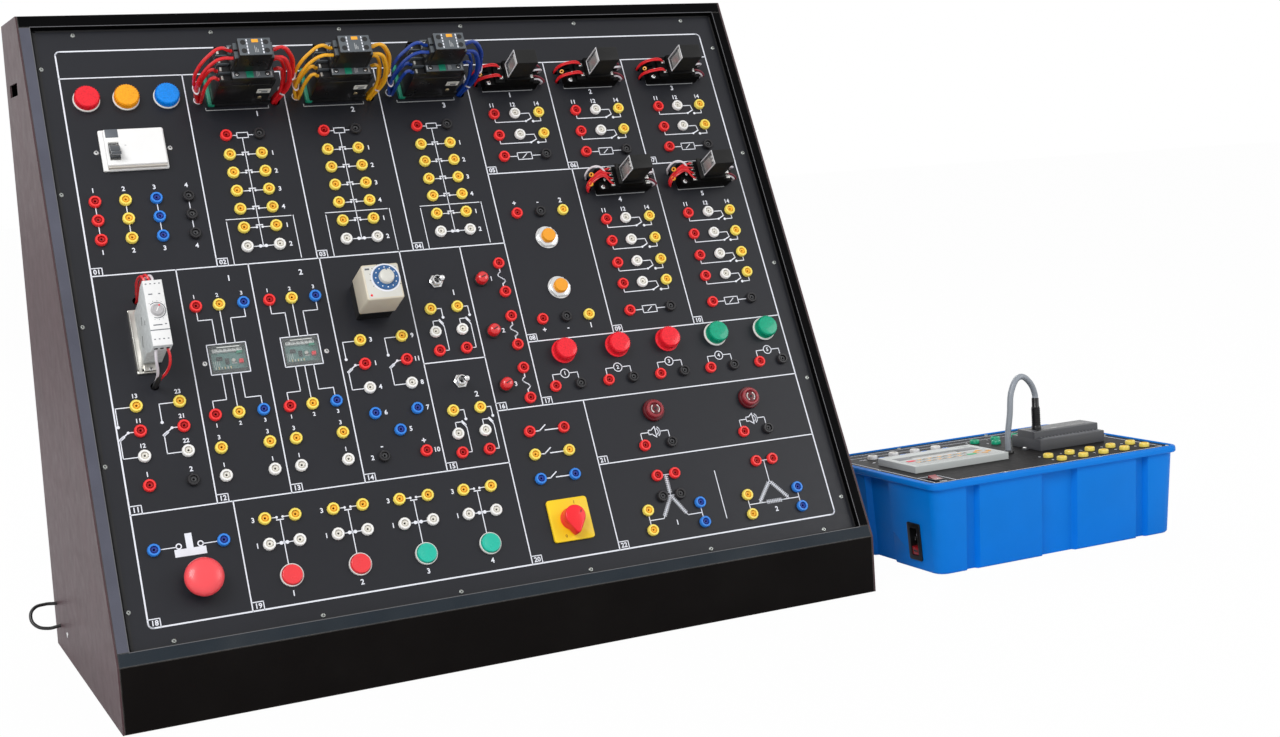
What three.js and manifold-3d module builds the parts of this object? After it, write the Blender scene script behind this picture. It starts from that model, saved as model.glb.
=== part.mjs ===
// Sequence control trainer: a sloping switchgear console and its separate controller unit.
// Millimetres, +Z up, front towards -Y. The two units stand side by side on one floor.
import * as THREE from 'three';
import { mergeVertices } from 'three/addons/utils/BufferGeometryUtils.js';
import Module from 'manifold-3d';

const wasm = await Module();
wasm.setup();

// Console case
const consoleWidth = 874;
const topDepth = 124.3;
const apronHeight = 67;
const slopeLength = 728;
const slopeAngle = THREE.MathUtils.degToRad(65);
const sheet = 2;
const railWidth = 14;
const ledgeWidth = 22;
const rearFlange = 25;
const slotWidth = 64;
const slotHeight = 14;
const slotDrop = 84;
const slotSetback = 29;

// Printed front panel
const panelThickness = 3;
const panelRecess = 8;
const sideMargin = 37;
const topMargin = 41;
const bottomMargin = 35.5;

// Clearances shared by all pieces
const seatGap = 0.3;
const runningGap = 0.4;
const overrun = 5;
const joinDepth = 1;
const mergeStep = 0.0001;

// Safety sockets, seen as round heads on the panels
const socketRadius = 7;
const socketHeight = 5;
const socketSides = 6;
const barrelSides = 8;
const capSides = 16;

// Contactors with a plug-on contact block
const contactorLength = 70;
const contactorBreadth = 43;
const contactorBase = 12;
const contactorBody = 38;
const contactorNose = 16;
const contactorBodyInset = 4;
const contactorNoseInset = 10;
const contactorNoseShift = 3;
const terminalCount = 4;
const terminalReach = 5;
const terminalBreadth = 6;
const terminalDepth = 12;
const auxLength = 37;
const auxBreadth = 21;
const auxHeight = 37;
const auxShift = 3;
const auxRise = -2.5;
const auxStep = 4;
const contactorLeadRadius = 1.8;
const loomRadius = 4;
const loomDepth = 14;
const leadHoleRadius = 6.2;
const contactorHoleReach = { left: -44, leftRise: -12, right: 42.5, rightRise: -16 };
const contactorPitchShare = 0.14;
const contactorShares = { u: 0.2365, v: 0.0844 };

// Lead routes beside a contactor, from its middle: across, up the panel, out of the panel
const leftLeadRoutes = [
  [[-21, 1, 88], [-32, 2, 93], [-44, -2, 84], [-54, -7, 60],
    [-54, -9, 38], [-49, -9, 18], [-44, -9, 4], [-44, -9, -14]],
  [[-21, -8, 88], [-31, -8, 88], [-41, -9, 78], [-50, -13, 58],
    [-52, -15, 38], [-50, -15, 18], [-46, -14, 4], [-46, -14, -14]],
  [[-32, -6, 56], [-37, -6, 60], [-43, -8, 52], [-47, -10, 38],
    [-46, -10, 20], [-41, -11, 4], [-41, -11, -14]],
  [[-32, -16, 56], [-37, -16, 60], [-42, -17, 50], [-44, -18, 34],
    [-43, -17, 18], [-42, -15, 4], [-42, -15, -14]],
];
const rightLeadRoutes = [
  [[27, 1, 88], [36, 2, 92], [46, -2, 84], [53, -7, 62],
    [54, -12, 40], [47, -14, 20], [44, -14, 4], [44, -14, -14]],
  [[27, -8, 88], [36, -9, 88], [44, -13, 76], [49, -17, 56],
    [50, -19, 38], [47, -19, 20], [44, -18, 4], [44, -18, -14]],
  [[32, 6, 56], [39, 5, 60], [45, 1, 52], [48, -5, 38],
    [47, -11, 22], [41, -13, 4], [41, -13, -14]],
  [[32, -6, 56], [38, -7, 60], [42, -10, 50], [44, -14, 36],
    [43, -17, 20], [40, -18, 4], [40, -18, -14]],
];
const leadSides = 5;
const leadSteps = 5;

// Plug-in relays on screw sockets
const relaySocketLength = 70;
const relaySocketBreadth = 28;
const relaySocketEnd = 15;
const relaySocketTop = 25;
const relaySocketEndLength = 15;
const relayLength = 28;
const relayBreadth = 20.5;
const relayHeight = 35;
const relayShift = 5;
const relayRim = 1.5;
const relayLeadRadius = 1.3;
const relayLeadHoleRadius = 3.2;
const relayLeadRises = [8, -5];
const relayLeadRoute = [[28, 13], [30, 20], [37, 20], [41.5, 9], [41.5, -9]];
const relayLeadSteps = 4;
const relayShares = [
  { u: 0.65, v: 0.086 },
  { u: 0.784, v: 0.086 },
  { u: 0.926, v: 0.086 },
  { u: 0.792, v: 0.311 },
  { u: 0.931, v: 0.311 },
];

// Supply breaker in its white surround
const breakerWidth = 70;
const breakerHeight = 49;
const breakerPlate = 3;
const breakerCoverWidth = 64;
const breakerCoverHeight = 43.5;
const breakerCoverDepth = 7.5;
const breakerCoverShift = 1;
const leverWindowWidth = 11.4;
const leverWindowLength = 21;
const leverWindowDepth = 8;
const leverWindowShift = 22;
const leverWindowDrop = 5.25;
const leverWidth = 10.4;
const leverDrum = 7.2;
const leverLength = 6;
const leverTilt = THREE.MathUtils.degToRad(32);
const breakerShares = { u: 0.0819, v: 0.1914 };

// Rail-mounted time relay
const timerWidth = 20;
const timerHeadHeight = 72.5;
const timerBodyHeight = 58;
const timerDepth = 73;
const timerHeadDepth = 17;
const timerShoulder = 20;
const timerBracketWidth = 22;
const timerBracketHeight = 72;
const timerBracketDepth = 3;
const timerBodyShift = 5.5;
const timerBodyRise = 3.5;
const timerDialRadius = 6.5;
const timerDialHeight = 4;
const timerDialRise = 6;
const timerLeadRadius = 1.5;
const timerLeadHoleRadius = 4.5;
const timerTopRoutes = [
  [[-5, 37, 64], [-7, 47, 64], [-9, 51, 54], [-8, 48, 24], [-5, 46, 4], [-5, 46, -10]],
  [[3, 37, 64], [2, 48, 62], [-1, 52, 50], [-3, 49, 24], [-4, 48, 4], [-4, 48, -10]],
];
const timerBottomRoutes = [
  [[-5, -30, 62], [-6, -38, 58], [-3, -48, 40], [-2, -50, 20], [-2, -50, 4], [-2, -50, -10]],
  [[6, -30, 62], [8, -40, 58], [7, -48, 40], [1, -51, 20], [0, -51, 4], [0, -51, -10]],
];
const timerHoleReach = { top: 47, topShift: -4.5, bottom: -50.5, bottomShift: -1 };
const timerShares = { u: 0.0513, v: 0.535 };

// Plug-in flicker timer
const flickerWidth = 42;
const flickerHeight = 40;
const flickerDepth = 40;
const flickerSocketInset = 1.5;
const flickerSocketDepth = 20;
const flickerSkirtRadius = 14.5;
const flickerSkirt = 1.5;
const flickerKnobRadius = 8.5;
const flickerKnobHeight = 8;
const flickerDialShift = 4;
const flickerDialRise = 4;
const flickerShares = { u: 0.3655, v: 0.503 };

// Indicator lamps
const lampFlangeRadius = 14.5;
const lampFlange = 2.5;
const phaseLensRadius = 12.5;
const phaseLens = 9;
const signalLensRadius = 12;
const signalLens = 12;
const lampBarrelRadius = 10.5;
const lampBarrel = 26;
const linkWidth = 6;
const linkHeight = 4;
const phaseLampShares = { u: [0.031, 0.084, 0.139], v: 0.094 };
const signalLampShares = { u: [0.634, 0.719, 0.801, 0.8825, 0.967], v: 0.631 };

// Buzzers
const buzzerRadius = 13;
const buzzerSkirt = 5;
const buzzerLensRadius = 10.5;
const buzzerLens = 5;
const buzzerShares = { u: [0.75, 0.909], v: 0.761 };

// Fuse holders
const fuseFlangeRadius = 8.5;
const fuseFlange = 2;
const fuseCapRadius = 7;
const fuseCap = 10;
const fuseBarrelRadius = 6;
const fuseBarrel = 36;
const fuseShares = { u: 0.535, v: [0.4805, 0.5797, 0.6805] };

// Proximity sensors
const sensorBarrelRadius = 8.7;
const sensorBarrel = 40;
const sensorNutRadius = 13.5;
const sensorNut = 4;
const sensorCap = 6;
const sensorLink = 30;
const sensorShares = { u: 0.652, v: [0.41, 0.509] };

// Overload relay boards behind windows
const boardWidth = 54;
const boardHeight = 46;
const boardThickness = 1.6;
const boardDrop = 4;
const boardPost = 4;
const boardPostInset = 2;
const windowWidth = 40.5;
const windowHeight = 33;
const terminalBlockWidth = 34;
const terminalBlockHeight = 6;
const terminalBlockRise = 11.3;
const terminalBlockSetback = 1.5;
const overloadShares = { u: [0.1588, 0.2582], v: 0.578 };

// Push buttons
const bezelRadius = 12.25;
const bezelHeight = 3;
const buttonRadius = 10.6;
const buttonCrown = 6;
const buttonSkirt = 14;
const buttonStemRadius = 5;
const buttonStem = 16;
const buttonPitchShare = 0.09125;
const buttonShares = { u: 0.187, v: 0.953 };

// Emergency stop
const stopCollarRadius = 15;
const stopCollarHeight = 6;
const stopBoreRadius = 11.4;
const stopShankRadius = 11;
const stopShankTop = 12;
const stopShankDrop = 24;
const stopSpigotRadius = 5;
const stopSpigot = 9;
const stopHeadRadius = 20;
const stopHeadNeckRadius = 12;
const stopHeadEdge = 5;
const stopHeadHeight = 17;
const stopShares = { u: 0.0725, v: 0.94 };

// Selector switch
const selectorPlateWidth = 48.5;
const selectorPlateHeight = 3;
const selectorDiscRadius = 15;
const selectorDisc = 5;
const selectorGripRadius = 12;
const selectorNoseRadius = 3;
const selectorReach = 20;
const selectorGrip = 12;
const gripSteps = 14;
const noseSteps = 4;
const selectorShaftRadius = 4;
const selectorShaft = 22;
const selectorShares = { u: 0.583, v: 0.934 };

// Toggle switches
const bushRadius = 6;
const bushBore = 4.3;
const bushHeight = 8;
const bushNutRadius = 8.5;
const bushNut = 2.5;
const toggleBall = 3.6;
const toggleNeck = 2.3;
const toggleTip = 3.3;
const toggleLength = 22;
const togglePivot = 3;
const toggleTilt = THREE.MathUtils.degToRad(13);
const toggleShares = [
  { u: 0.4675, v: 0.4766 },
  { u: 0.4706, v: 0.664 },
];

// Black lead looped out of the left side, its route seen from the console's rear
const sideLeadRadius = 2;
const sideLeadHoleRadius = 2.5;
const sideLeadRoute = [
  [14, -20, 52],
  [0, -20, 52],
  [-14, -20, 53],
  [-26, -24, 51],
  [-31, -29, 43],
  [-27, -35, 33],
  [-14, -38, 28],
  [0, -38, 29],
  [14, -38, 29],
];

// Controller unit
const unitGap = 90;
const unitSetback = 0;
const unitWidth = 390;
const unitDepth = 270;
const unitHeight = 116;
const unitTaper = 7;
const unitCorner = 16;
const unitWall = 10.5;
const unitFloor = 5;
const rimWidth = 4;
const rimHeight = 11;
const bandDepth = 8;
const bandSlant = 3.5;
const bandWidth = 20;
const wideBandWidth = 56;
const bandShares = [0.15, 0.85];
const wideBandShare = 0.5;
const unitPanelThickness = 3;
const unitPanelRecess = 2;
const unitPanelInset = 6;

// Fittings on the controller unit
const operatorWidth = 145;
const operatorHeight = 87;
const operatorThickness = 9;
const operatorBevel = 3;
const displayWidth = 76;
const displayHeight = 15;
const displayDepth = 1.5;
const keyWidth = 14;
const keyHeight = 7.5;
const keyRise = 0.8;
const operatorShares = { x: 0.271, y: 0.48 };
const displayShares = { x: -0.035, y: 0.14 };
const keyRowShares = [
  { x: [-0.274, -0.166, -0.058, 0.049, 0.157], y: -0.11 },
  { x: [-0.347, -0.238, -0.129, -0.02, 0.089], y: -0.28 },
];
const moduleWidth = 107;
const moduleLength = 62;
const moduleHeight = 24;
const moduleStepHeight = 15;
const moduleStepLength = 13;
const moduleShares = { x: 0.757, y: 0.49 };
const plugRadius = 6.5;
const plugLength = 42;
const plugShare = { x: -0.34, y: -0.02 };
const programLeadRadius = 4;
const grommetRadius = 7;
const grommetHeight = 4;
const grommetShares = { x: 0.526, y: 0.454 };
const programLeadRise = 98;
const programLeadShares = [
  [0, 0, 0.214],
  [0.083, 0, 0.5],
  [0.25, 0.33, 0.88],
  [0.5, 0.5, 1],
  [0.78, 0.67, 0.926],
];
const plugEntryShare = 0.12;
const rockerBezelWidth = 15;
const rockerBezelLength = 21;
const rockerBezelHeight = 2;
const rockerWidth = 11;
const rockerLength = 16.6;
const rockerHoleWidth = 11.8;
const rockerHoleLength = 18.6;
const rockerTop = 2.6;
const rockerKeel = 7;
const rockerKeelShare = 0.7;
const rockerTilt = THREE.MathUtils.degToRad(10);
const rockerMargin = 28;
const rockerShare = 0.134;
const inletWidth = 27;
const inletHeight = 47;
const inletFlange = 2;
const inletBody = 20;
const inletBodyInset = 3;
const inletRecessInset = 6;
const inletRecess = 14;
const inletPlace = 58;
const inletRise = 36;

// Sizes that follow from the ones above
const railDepth = panelRecess + panelThickness + seatGap + sheet;
const panelSeat = railDepth - sheet;
const fieldWidth = consoleWidth - sideMargin * 2;
const fieldHeight = slopeLength - topMargin - bottomMargin;
const consoleHeight = apronHeight + slopeLength * Math.sin(slopeAngle);
const slopeRun = slopeLength * Math.cos(slopeAngle);
const consoleDepth = slopeRun + topDepth;
const innerLeft = sheet + seatGap;
const innerRight = consoleWidth - sheet - seatGap;
const auxFloor = contactorBase + contactorBody + contactorNose;

// Places of the sockets as shares of the printed field, block by block
const leadPairShares = [0.1656, 0.2056];
const socketShares = [
  { u: [0.02, 0.06, 0.101, 0.144], v: [0.283, 0.317, 0.352] },
  { u: [0.754, 0.786, 0.826], v: [0.384, 0.428, 0.472, 0.514] },
  { u: [0.893, 0.9275, 0.9655], v: [0.384, 0.428, 0.472, 0.514] },
  { u: [0.754, 0.821, 0.893, 0.96], v: [0.567] },
  { u: [0.614, 0.651, 0.6875], v: [0.3586, 0.5664] },
  { u: [0.609, 0.648, 0.693, 0.732, 0.7768, 0.8158, 0.8605, 0.8995, 0.9443, 0.9833], v: [0.694] },
  { u: [0.567], v: [0.453, 0.508, 0.555, 0.609, 0.653, 0.709] },
  { u: [0.45, 0.49], v: [0.527, 0.57, 0.605, 0.715, 0.757, 0.791] },
  { u: [0.34, 0.4], v: [0.571, 0.614, 0.657, 0.703, 0.779] },
  { u: [0.37], v: [0.737] },
  { u: [0.029, 0.0845], v: [0.643, 0.685, 0.727, 0.776] },
  { u: [0.127, 0.158, 0.191, 0.2264, 0.2574, 0.2904], v: [0.483, 0.673] },
  { u: [0.127, 0.191, 0.2264, 0.2904], v: [0.729, 0.776] },
  { u: [0.021, 0.109], v: [0.88] },
  { u: [0.554, 0.606], v: [0.77, 0.812, 0.856] },
  { u: [0.723, 0.766, 0.886, 0.927], v: [0.823] },
  { u: [0.73, 0.758, 0.893, 0.92], v: [0.8805] },
  { u: [0.73, 0.758], v: [0.919] },
  { u: [0.7025, 0.786, 0.864, 0.948], v: [0.94, 0.976] },
];
const contactorSocketShares = [
  { u: [0.211, 0.2575], v: [0.173] },
  { u: [0.211, 0.256], v: [0.21, 0.2445, 0.279, 0.313, 0.348, 0.383] },
];
const relaySocketShares = [
  { u: [0.6156, 0.649, 0.688], v: [0.157, 0.201] },
  { u: [0.6156, 0.683], v: [0.244] },
];
const buttonSocketShares = { u: leadPairShares, v: [0.8555, 0.898] };
const unitSocketShares = [
  { x: [0.138, 0.224, 0.311, 0.398], y: [0.808, 0.711] },
  { x: [0.566, 0.655, 0.743, 0.831, 0.92], y: [0.811] },
  { x: [0.61, 0.702, 0.79, 0.877], y: [0.717] },
  { x: [0.567, 0.656, 0.741, 0.83, 0.9155], y: [0.222, 0.12] },
];

// Finishes
const finishes = {
  blackPaint: { color: 0x17171a, roughness: 0.55, metalness: 0.2 },
  panelBlack: { color: 0x1d1d20, roughness: 0.6, metalness: 0.1 },
  deviceGrey: { color: 0x2b2d2f, roughness: 0.5, metalness: 0 },
  red: { color: 0xd01218, roughness: 0.4, metalness: 0 },
  yellow: { color: 0xe8b81a, roughness: 0.4, metalness: 0 },
  blue: { color: 0x1c4fb8, roughness: 0.4, metalness: 0 },
  green: { color: 0x12795a, roughness: 0.4, metalness: 0 },
  darkRed: { color: 0x7a1016, roughness: 0.4, metalness: 0 },
  white: { color: 0xe9e9e6, roughness: 0.5, metalness: 0 },
  timerGrey: { color: 0xc9c9c6, roughness: 0.5, metalness: 0 },
  cream: { color: 0xd9d2bd, roughness: 0.5, metalness: 0 },
  clear: { color: 0x8c9298, roughness: 0.1, metalness: 0 },
  chrome: { color: 0xc8c8c8, roughness: 0.15, metalness: 1 },
  board: { color: 0x1d6a55, roughness: 0.5, metalness: 0 },
  rubber: { color: 0x111112, roughness: 0.8, metalness: 0 },
  caseBlue: { color: 0x1272c4, roughness: 0.35, metalness: 0 },
  leadGrey: { color: 0x8f9296, roughness: 0.6, metalness: 0 },
  panelGrey: { color: 0xb9bcb8, roughness: 0.5, metalness: 0 },
};

// Shape helpers
function box(x0, x1, y0, y1, z0, z1) {
  const made = new THREE.BoxGeometry(x1 - x0, y1 - y0, z1 - z0);
  return made.translate((x0 + x1) / 2, (y0 + y1) / 2, (z0 + z1) / 2);
}

function block(x, y, z0, z1, width, depth) {
  return box(x - width / 2, x + width / 2, y - depth / 2, y + depth / 2, z0, z1);
}

function rod(x, y, z0, z1, radius, sides = 16, topRadius = radius) {
  const made = new THREE.CylinderGeometry(topRadius, radius, z1 - z0, sides);
  return made.rotateX(Math.PI / 2).translate(x, y, (z0 + z1) / 2);
}

function turned(profile, sides) {
  const points = profile.map(([r, z]) => new THREE.Vector2(r, z));
  return new THREE.LatheGeometry(points, sides).rotateX(Math.PI / 2);
}

function outline(points) {
  return new THREE.Shape(points.map(([a, b]) => new THREE.Vector2(a, b)));
}

function prismAlongZ(points, z0, z1) {
  const made = new THREE.ExtrudeGeometry(outline(points), { depth: z1 - z0, bevelEnabled: false });
  return made.translate(0, 0, z0);
}

function prismAlongX(points, x0, x1) {
  const made = new THREE.ExtrudeGeometry(outline(points), { depth: x1 - x0, bevelEnabled: false });
  made.rotateX(Math.PI / 2).rotateZ(Math.PI / 2);
  return made.translate(x0, 0, 0);
}

function tube(points, radius, sides, steps) {
  const section = [];
  for (let i = 0; i < sides; i += 1) {
    const angle = (i / sides) * Math.PI * 2;
    section.push([radius * Math.cos(angle), radius * Math.sin(angle)]);
  }
  const route = new THREE.CatmullRomCurve3(points.map((p) => new THREE.Vector3(...p)));
  return new THREE.ExtrudeGeometry(outline(section), { steps, extrudePath: route, bevelEnabled: false });
}

function roundedOutline(width, depth, radius, cornerSteps) {
  const points = [];
  const quarter = Math.PI / 2;
  const corners = [[1, 1], [-1, 1], [-1, -1], [1, -1]];
  for (const [turn, [sx, sy]] of corners.entries()) {
    for (let i = 0; i <= cornerSteps; i += 1) {
      const angle = (turn + i / cornerSteps) * quarter;
      points.push([
        sx * (width / 2 - radius) + radius * Math.cos(angle),
        sy * (depth / 2 - radius) + radius * Math.sin(angle),
      ]);
    }
  }
  return points;
}

// A closed solid from any of the geometries above, its faces turned outwards
function solid(shape) {
  const bare = shape.clone();
  bare.deleteAttribute('normal');
  bare.deleteAttribute('uv');
  const merged = mergeVertices(bare, mergeStep);
  const places = merged.attributes.position;
  const index = merged.index.array;
  const faces = [];
  const [a, b, c] = [new THREE.Vector3(), new THREE.Vector3(), new THREE.Vector3()];
  let volume = 0;
  for (let i = 0; i < index.length; i += 3) {
    const [p, q, r] = [index[i], index[i + 1], index[i + 2]];
    if (p === q || q === r || r === p) continue;
    faces.push([p, q, r]);
    a.fromBufferAttribute(places, p);
    b.fromBufferAttribute(places, q);
    c.fromBufferAttribute(places, r);
    volume += a.dot(b.cross(c));
  }
  const outward = volume > 0 ? faces : faces.map(([p, q, r]) => [p, r, q]);
  return new wasm.Manifold(new wasm.Mesh({
    numProp: 3,
    vertProperties: new Float32Array(places.array),
    triVerts: new Uint32Array(outward.flat()),
  }));
}

function join(...shapes) {
  return shapes.slice(1).reduce((whole, shape) => whole.add(solid(shape)), solid(shapes[0]));
}

function cut(whole, ...shapes) {
  return shapes.reduce((rest, shape) => rest.subtract(solid(shape)), whole);
}

function shapeOf(whole) {
  const mesh = whole.getMesh();
  const made = new THREE.BufferGeometry();
  made.setAttribute('position', new THREE.BufferAttribute(new Float32Array(mesh.vertProperties), 3));
  made.setIndex(new THREE.BufferAttribute(new Uint32Array(mesh.triVerts), 1));
  return made;
}

function place(parent, name, whole, finish) {
  const mesh = new THREE.Mesh(shapeOf(whole), new THREE.MeshStandardMaterial(finish));
  mesh.name = name;
  parent.add(mesh);
  return mesh;
}

// Groups: the whole set, the sloping frame, the printed face and the controller unit
const trainer = new THREE.Group();
const slope = new THREE.Group();
slope.position.set(0, 0, apronHeight);
slope.rotation.x = slopeAngle;
trainer.add(slope);
const face = new THREE.Group();
face.position.set(sideMargin, bottomMargin, -panelRecess);
slope.add(face);
const unit = new THREE.Group();
unit.position.set(consoleWidth + unitGap + unitWidth / 2, unitSetback + unitDepth / 2, 0);
trainer.add(unit);

// A spot on the printed face, and a group that stands there
function spot({ u, v }) {
  return [u * fieldWidth, (1 - v) * fieldHeight];
}

function standing(parent, x, y, z = 0) {
  const group = new THREE.Group();
  group.position.set(x, y, z);
  parent.add(group);
  return group;
}

function spots(shares) {
  return shares.v.flatMap((v) => shares.u.map((u) => spot({ u, v })));
}

function spotsAlong({ u, v }) {
  return [u].flat().flatMap((across) => [v].flat().map((down) => spot({ u: across, v: down })));
}

// A point on the side view of the slope, from the distance up it and the depth below it
function onSlope(along, depth) {
  return [
    along * Math.cos(slopeAngle) + depth * Math.sin(slopeAngle),
    apronHeight + along * Math.sin(slopeAngle) - depth * Math.cos(slopeAngle),
  ];
}

// Console case
function sidePanel(name, x0) {
  const wedge = [
    [0, 0],
    [consoleDepth, 0],
    [consoleDepth, consoleHeight],
    [slopeRun, consoleHeight],
    [0, apronHeight],
  ];
  return { name, x0, whole: join(prismAlongX(wedge, x0, x0 + sheet)) };
}

function sidePanels() {
  const left = sidePanel('left_side_panel', 0);
  const slotBack = consoleDepth - slotSetback;
  const slotRise = consoleHeight - slotDrop;
  const slot = block(0, slotBack - slotWidth / 2, slotRise, slotRise + slotHeight, overrun * 2, slotWidth);
  const leadEnds = [sideLeadRoute[0], sideLeadRoute[sideLeadRoute.length - 1]];
  const leadHoles = leadEnds.map(([, y, z]) => (
    new THREE.CylinderGeometry(sideLeadHoleRadius, sideLeadHoleRadius, overrun * 2, 12)
      .rotateZ(Math.PI / 2).translate(0, consoleDepth + y, z)
  ));
  place(trainer, left.name, cut(left.whole, slot, ...leadHoles), finishes.blackPaint);
  const right = sidePanel('right_side_panel', consoleWidth - sheet);
  place(trainer, right.name, right.whole, finishes.blackPaint);
}

function caseSheets() {
  const frontGap = sheet + seatGap;
  place(trainer, 'front_apron', join(
    box(innerLeft, innerRight, 0, sheet, 0, apronHeight - seatGap),
    box(innerLeft, innerRight, joinDepth, rearFlange, 0, sheet),
  ), finishes.blackPaint);
  place(trainer, 'base_plate', join(
    box(innerLeft, innerRight, rearFlange + seatGap, consoleDepth - frontGap, 0, sheet),
  ), finishes.blackPaint);
  place(trainer, 'back_cover', join(
    box(innerLeft, innerRight, consoleDepth - sheet, consoleDepth, 0, consoleHeight - rearFlange - seatGap),
  ), finishes.blackPaint);
}

function crossRails() {
  const ledgeLeft = railWidth + ledgeWidth + seatGap;
  const ledgeRight = consoleWidth - ledgeLeft;
  const shear = Math.tan(slopeAngle);
  const bottom = [
    onSlope(0, 0),
    onSlope(railDepth / shear, railDepth),
    onSlope(railWidth, railDepth),
    onSlope(railWidth, 0),
  ];
  const bottomLedge = [
    onSlope(railWidth - joinDepth, panelSeat),
    onSlope(railWidth - joinDepth, railDepth),
    onSlope(railWidth + ledgeWidth, railDepth),
    onSlope(railWidth + ledgeWidth, panelSeat),
  ];
  place(trainer, 'bottom_rail', join(
    prismAlongX(bottom, innerLeft, innerRight),
    prismAlongX(bottomLedge, ledgeLeft, ledgeRight),
  ), finishes.blackPaint);
  const under = slopeLength - sheet / Math.sin(slopeAngle) + railDepth / shear;
  const top = [
    onSlope(slopeLength - railWidth, 0),
    onSlope(slopeLength - railWidth, railDepth),
    onSlope(under, railDepth),
    [consoleDepth - sheet, consoleHeight - sheet],
    [consoleDepth - sheet, consoleHeight - rearFlange],
    [consoleDepth, consoleHeight - rearFlange],
    [consoleDepth, consoleHeight],
    [slopeRun, consoleHeight],
  ];
  const topLedge = [
    onSlope(slopeLength - railWidth - ledgeWidth, panelSeat),
    onSlope(slopeLength - railWidth - ledgeWidth, railDepth),
    onSlope(slopeLength - railWidth + joinDepth, railDepth),
    onSlope(slopeLength - railWidth + joinDepth, panelSeat),
  ];
  place(trainer, 'top_cover', join(
    prismAlongX(top, innerLeft, innerRight),
    prismAlongX(topLedge, ledgeLeft, ledgeRight),
  ), finishes.blackPaint);
}

function sideRails() {
  const low = railWidth + seatGap;
  const high = slopeLength - railWidth - seatGap;
  const left = join(
    box(innerLeft, railWidth, low, high, -railDepth, 0),
    box(railWidth - joinDepth, railWidth + ledgeWidth, low, high, -railDepth, -panelSeat),
  );
  place(slope, 'left_rail', left, finishes.blackPaint);
  const rightEdge = consoleWidth - railWidth;
  const right = join(
    box(rightEdge, innerRight, low, high, -railDepth, 0),
    box(rightEdge - ledgeWidth, rightEdge + joinDepth, low, high, -railDepth, -panelSeat),
  );
  place(slope, 'right_rail', right, finishes.blackPaint);
}

// Front panel with its socket heads, button bezels, stop collar and toggle bushes
function socketHead([x, y], sides = socketSides) {
  return rod(x, y, -joinDepth, socketHeight, socketRadius, sides);
}

function shifted(shares, pitch, count) {
  return Array.from({ length: count }, (_, n) => ({ ...shares, u: shares.u.map((u) => u + n * pitch) }));
}

function frontPanel() {
  const edge = railWidth + seatGap;
  const sheetSolid = box(
    edge - sideMargin,
    consoleWidth - edge - sideMargin,
    edge - bottomMargin,
    slopeLength - edge - bottomMargin,
    -panelThickness,
    0,
  );
  const relayOffsets = relayShares.slice(0, 3).map(({ u }) => u - relayShares[0].u);
  const heads = [
    ...socketShares.flatMap(spots),
    ...contactorSocketShares.flatMap((s) => shifted(s, contactorPitchShare, 3)).flatMap(spots),
    ...relaySocketShares.flatMap((s) => relayOffsets.flatMap((offset) => (
      spots({ ...s, u: s.u.map((u) => u + offset) })
    ))),
    ...shifted(buttonSocketShares, buttonPitchShare, 4).flatMap(spots),
  ].map((p) => socketHead(p));
  const bezels = buttonSpots().map(([x, y]) => rod(x, y, -joinDepth, bezelHeight, bezelRadius, capSides));
  const [stopX, stopY] = spot(stopShares);
  const collar = rod(stopX, stopY, -joinDepth, stopCollarHeight, stopCollarRadius, capSides);
  const bushes = toggleShares.map(spot).flatMap(([x, y]) => [
    rod(x, y, -joinDepth, bushNut, bushNutRadius, 6),
    rod(x, y, -joinDepth, bushHeight, bushRadius, 12),
  ]);
  const low = -panelThickness - overrun;
  const high = Math.max(bushHeight, bezelHeight, stopCollarHeight) + overrun;
  const hole = (radius, sides = 12) => ([x, y]) => rod(x, y, low, high, radius, sides);
  const holes = [
    ...buttonSpots().map(hole(buttonRadius + runningGap, capSides)),
    hole(stopBoreRadius, capSides)([stopX, stopY]),
    ...toggleShares.map(spot).map(hole(bushBore)),
    hole(selectorShaftRadius + runningGap)(spot(selectorShares)),
    ...spotsAlong(phaseLampShares).map(hole(lampBarrelRadius + seatGap, barrelSides)),
    ...spotsAlong(signalLampShares).map(hole(lampBarrelRadius + seatGap, barrelSides)),
    ...spotsAlong(buzzerShares).map(hole(lampBarrelRadius + seatGap, barrelSides)),
    ...spotsAlong(fuseShares).map(hole(fuseBarrelRadius + seatGap, barrelSides)),
    ...spotsAlong(sensorShares).map(hole(sensorBarrelRadius + seatGap, barrelSides)),
    ...contactorHoles().map(hole(leadHoleRadius, 10)),
    ...relayHoles().map(hole(relayLeadHoleRadius, 6)),
    ...timerHoles().map(hole(timerLeadHoleRadius, 8)),
    ...spotsAlong(overloadShares).map(([x, y]) => block(x, y, low, overrun, windowWidth, windowHeight)),
  ];
  const raised = join(sheetSolid, ...heads, ...bezels, collar, ...bushes);
  place(face, 'front_panel', cut(raised, ...holes), finishes.panelBlack);
}

// Contactors, their contact blocks and their leads
function contactorSpots() {
  return [0, 1, 2].map((n) => spot({ ...contactorShares, u: contactorShares.u + n * contactorPitchShare }));
}

function contactorHoles() {
  const reach = contactorHoleReach;
  return contactorSpots().flatMap(([x, y]) => [
    [x + reach.left, y + reach.leftRise],
    [x + reach.right, y + reach.rightRise],
  ]);
}

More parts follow.
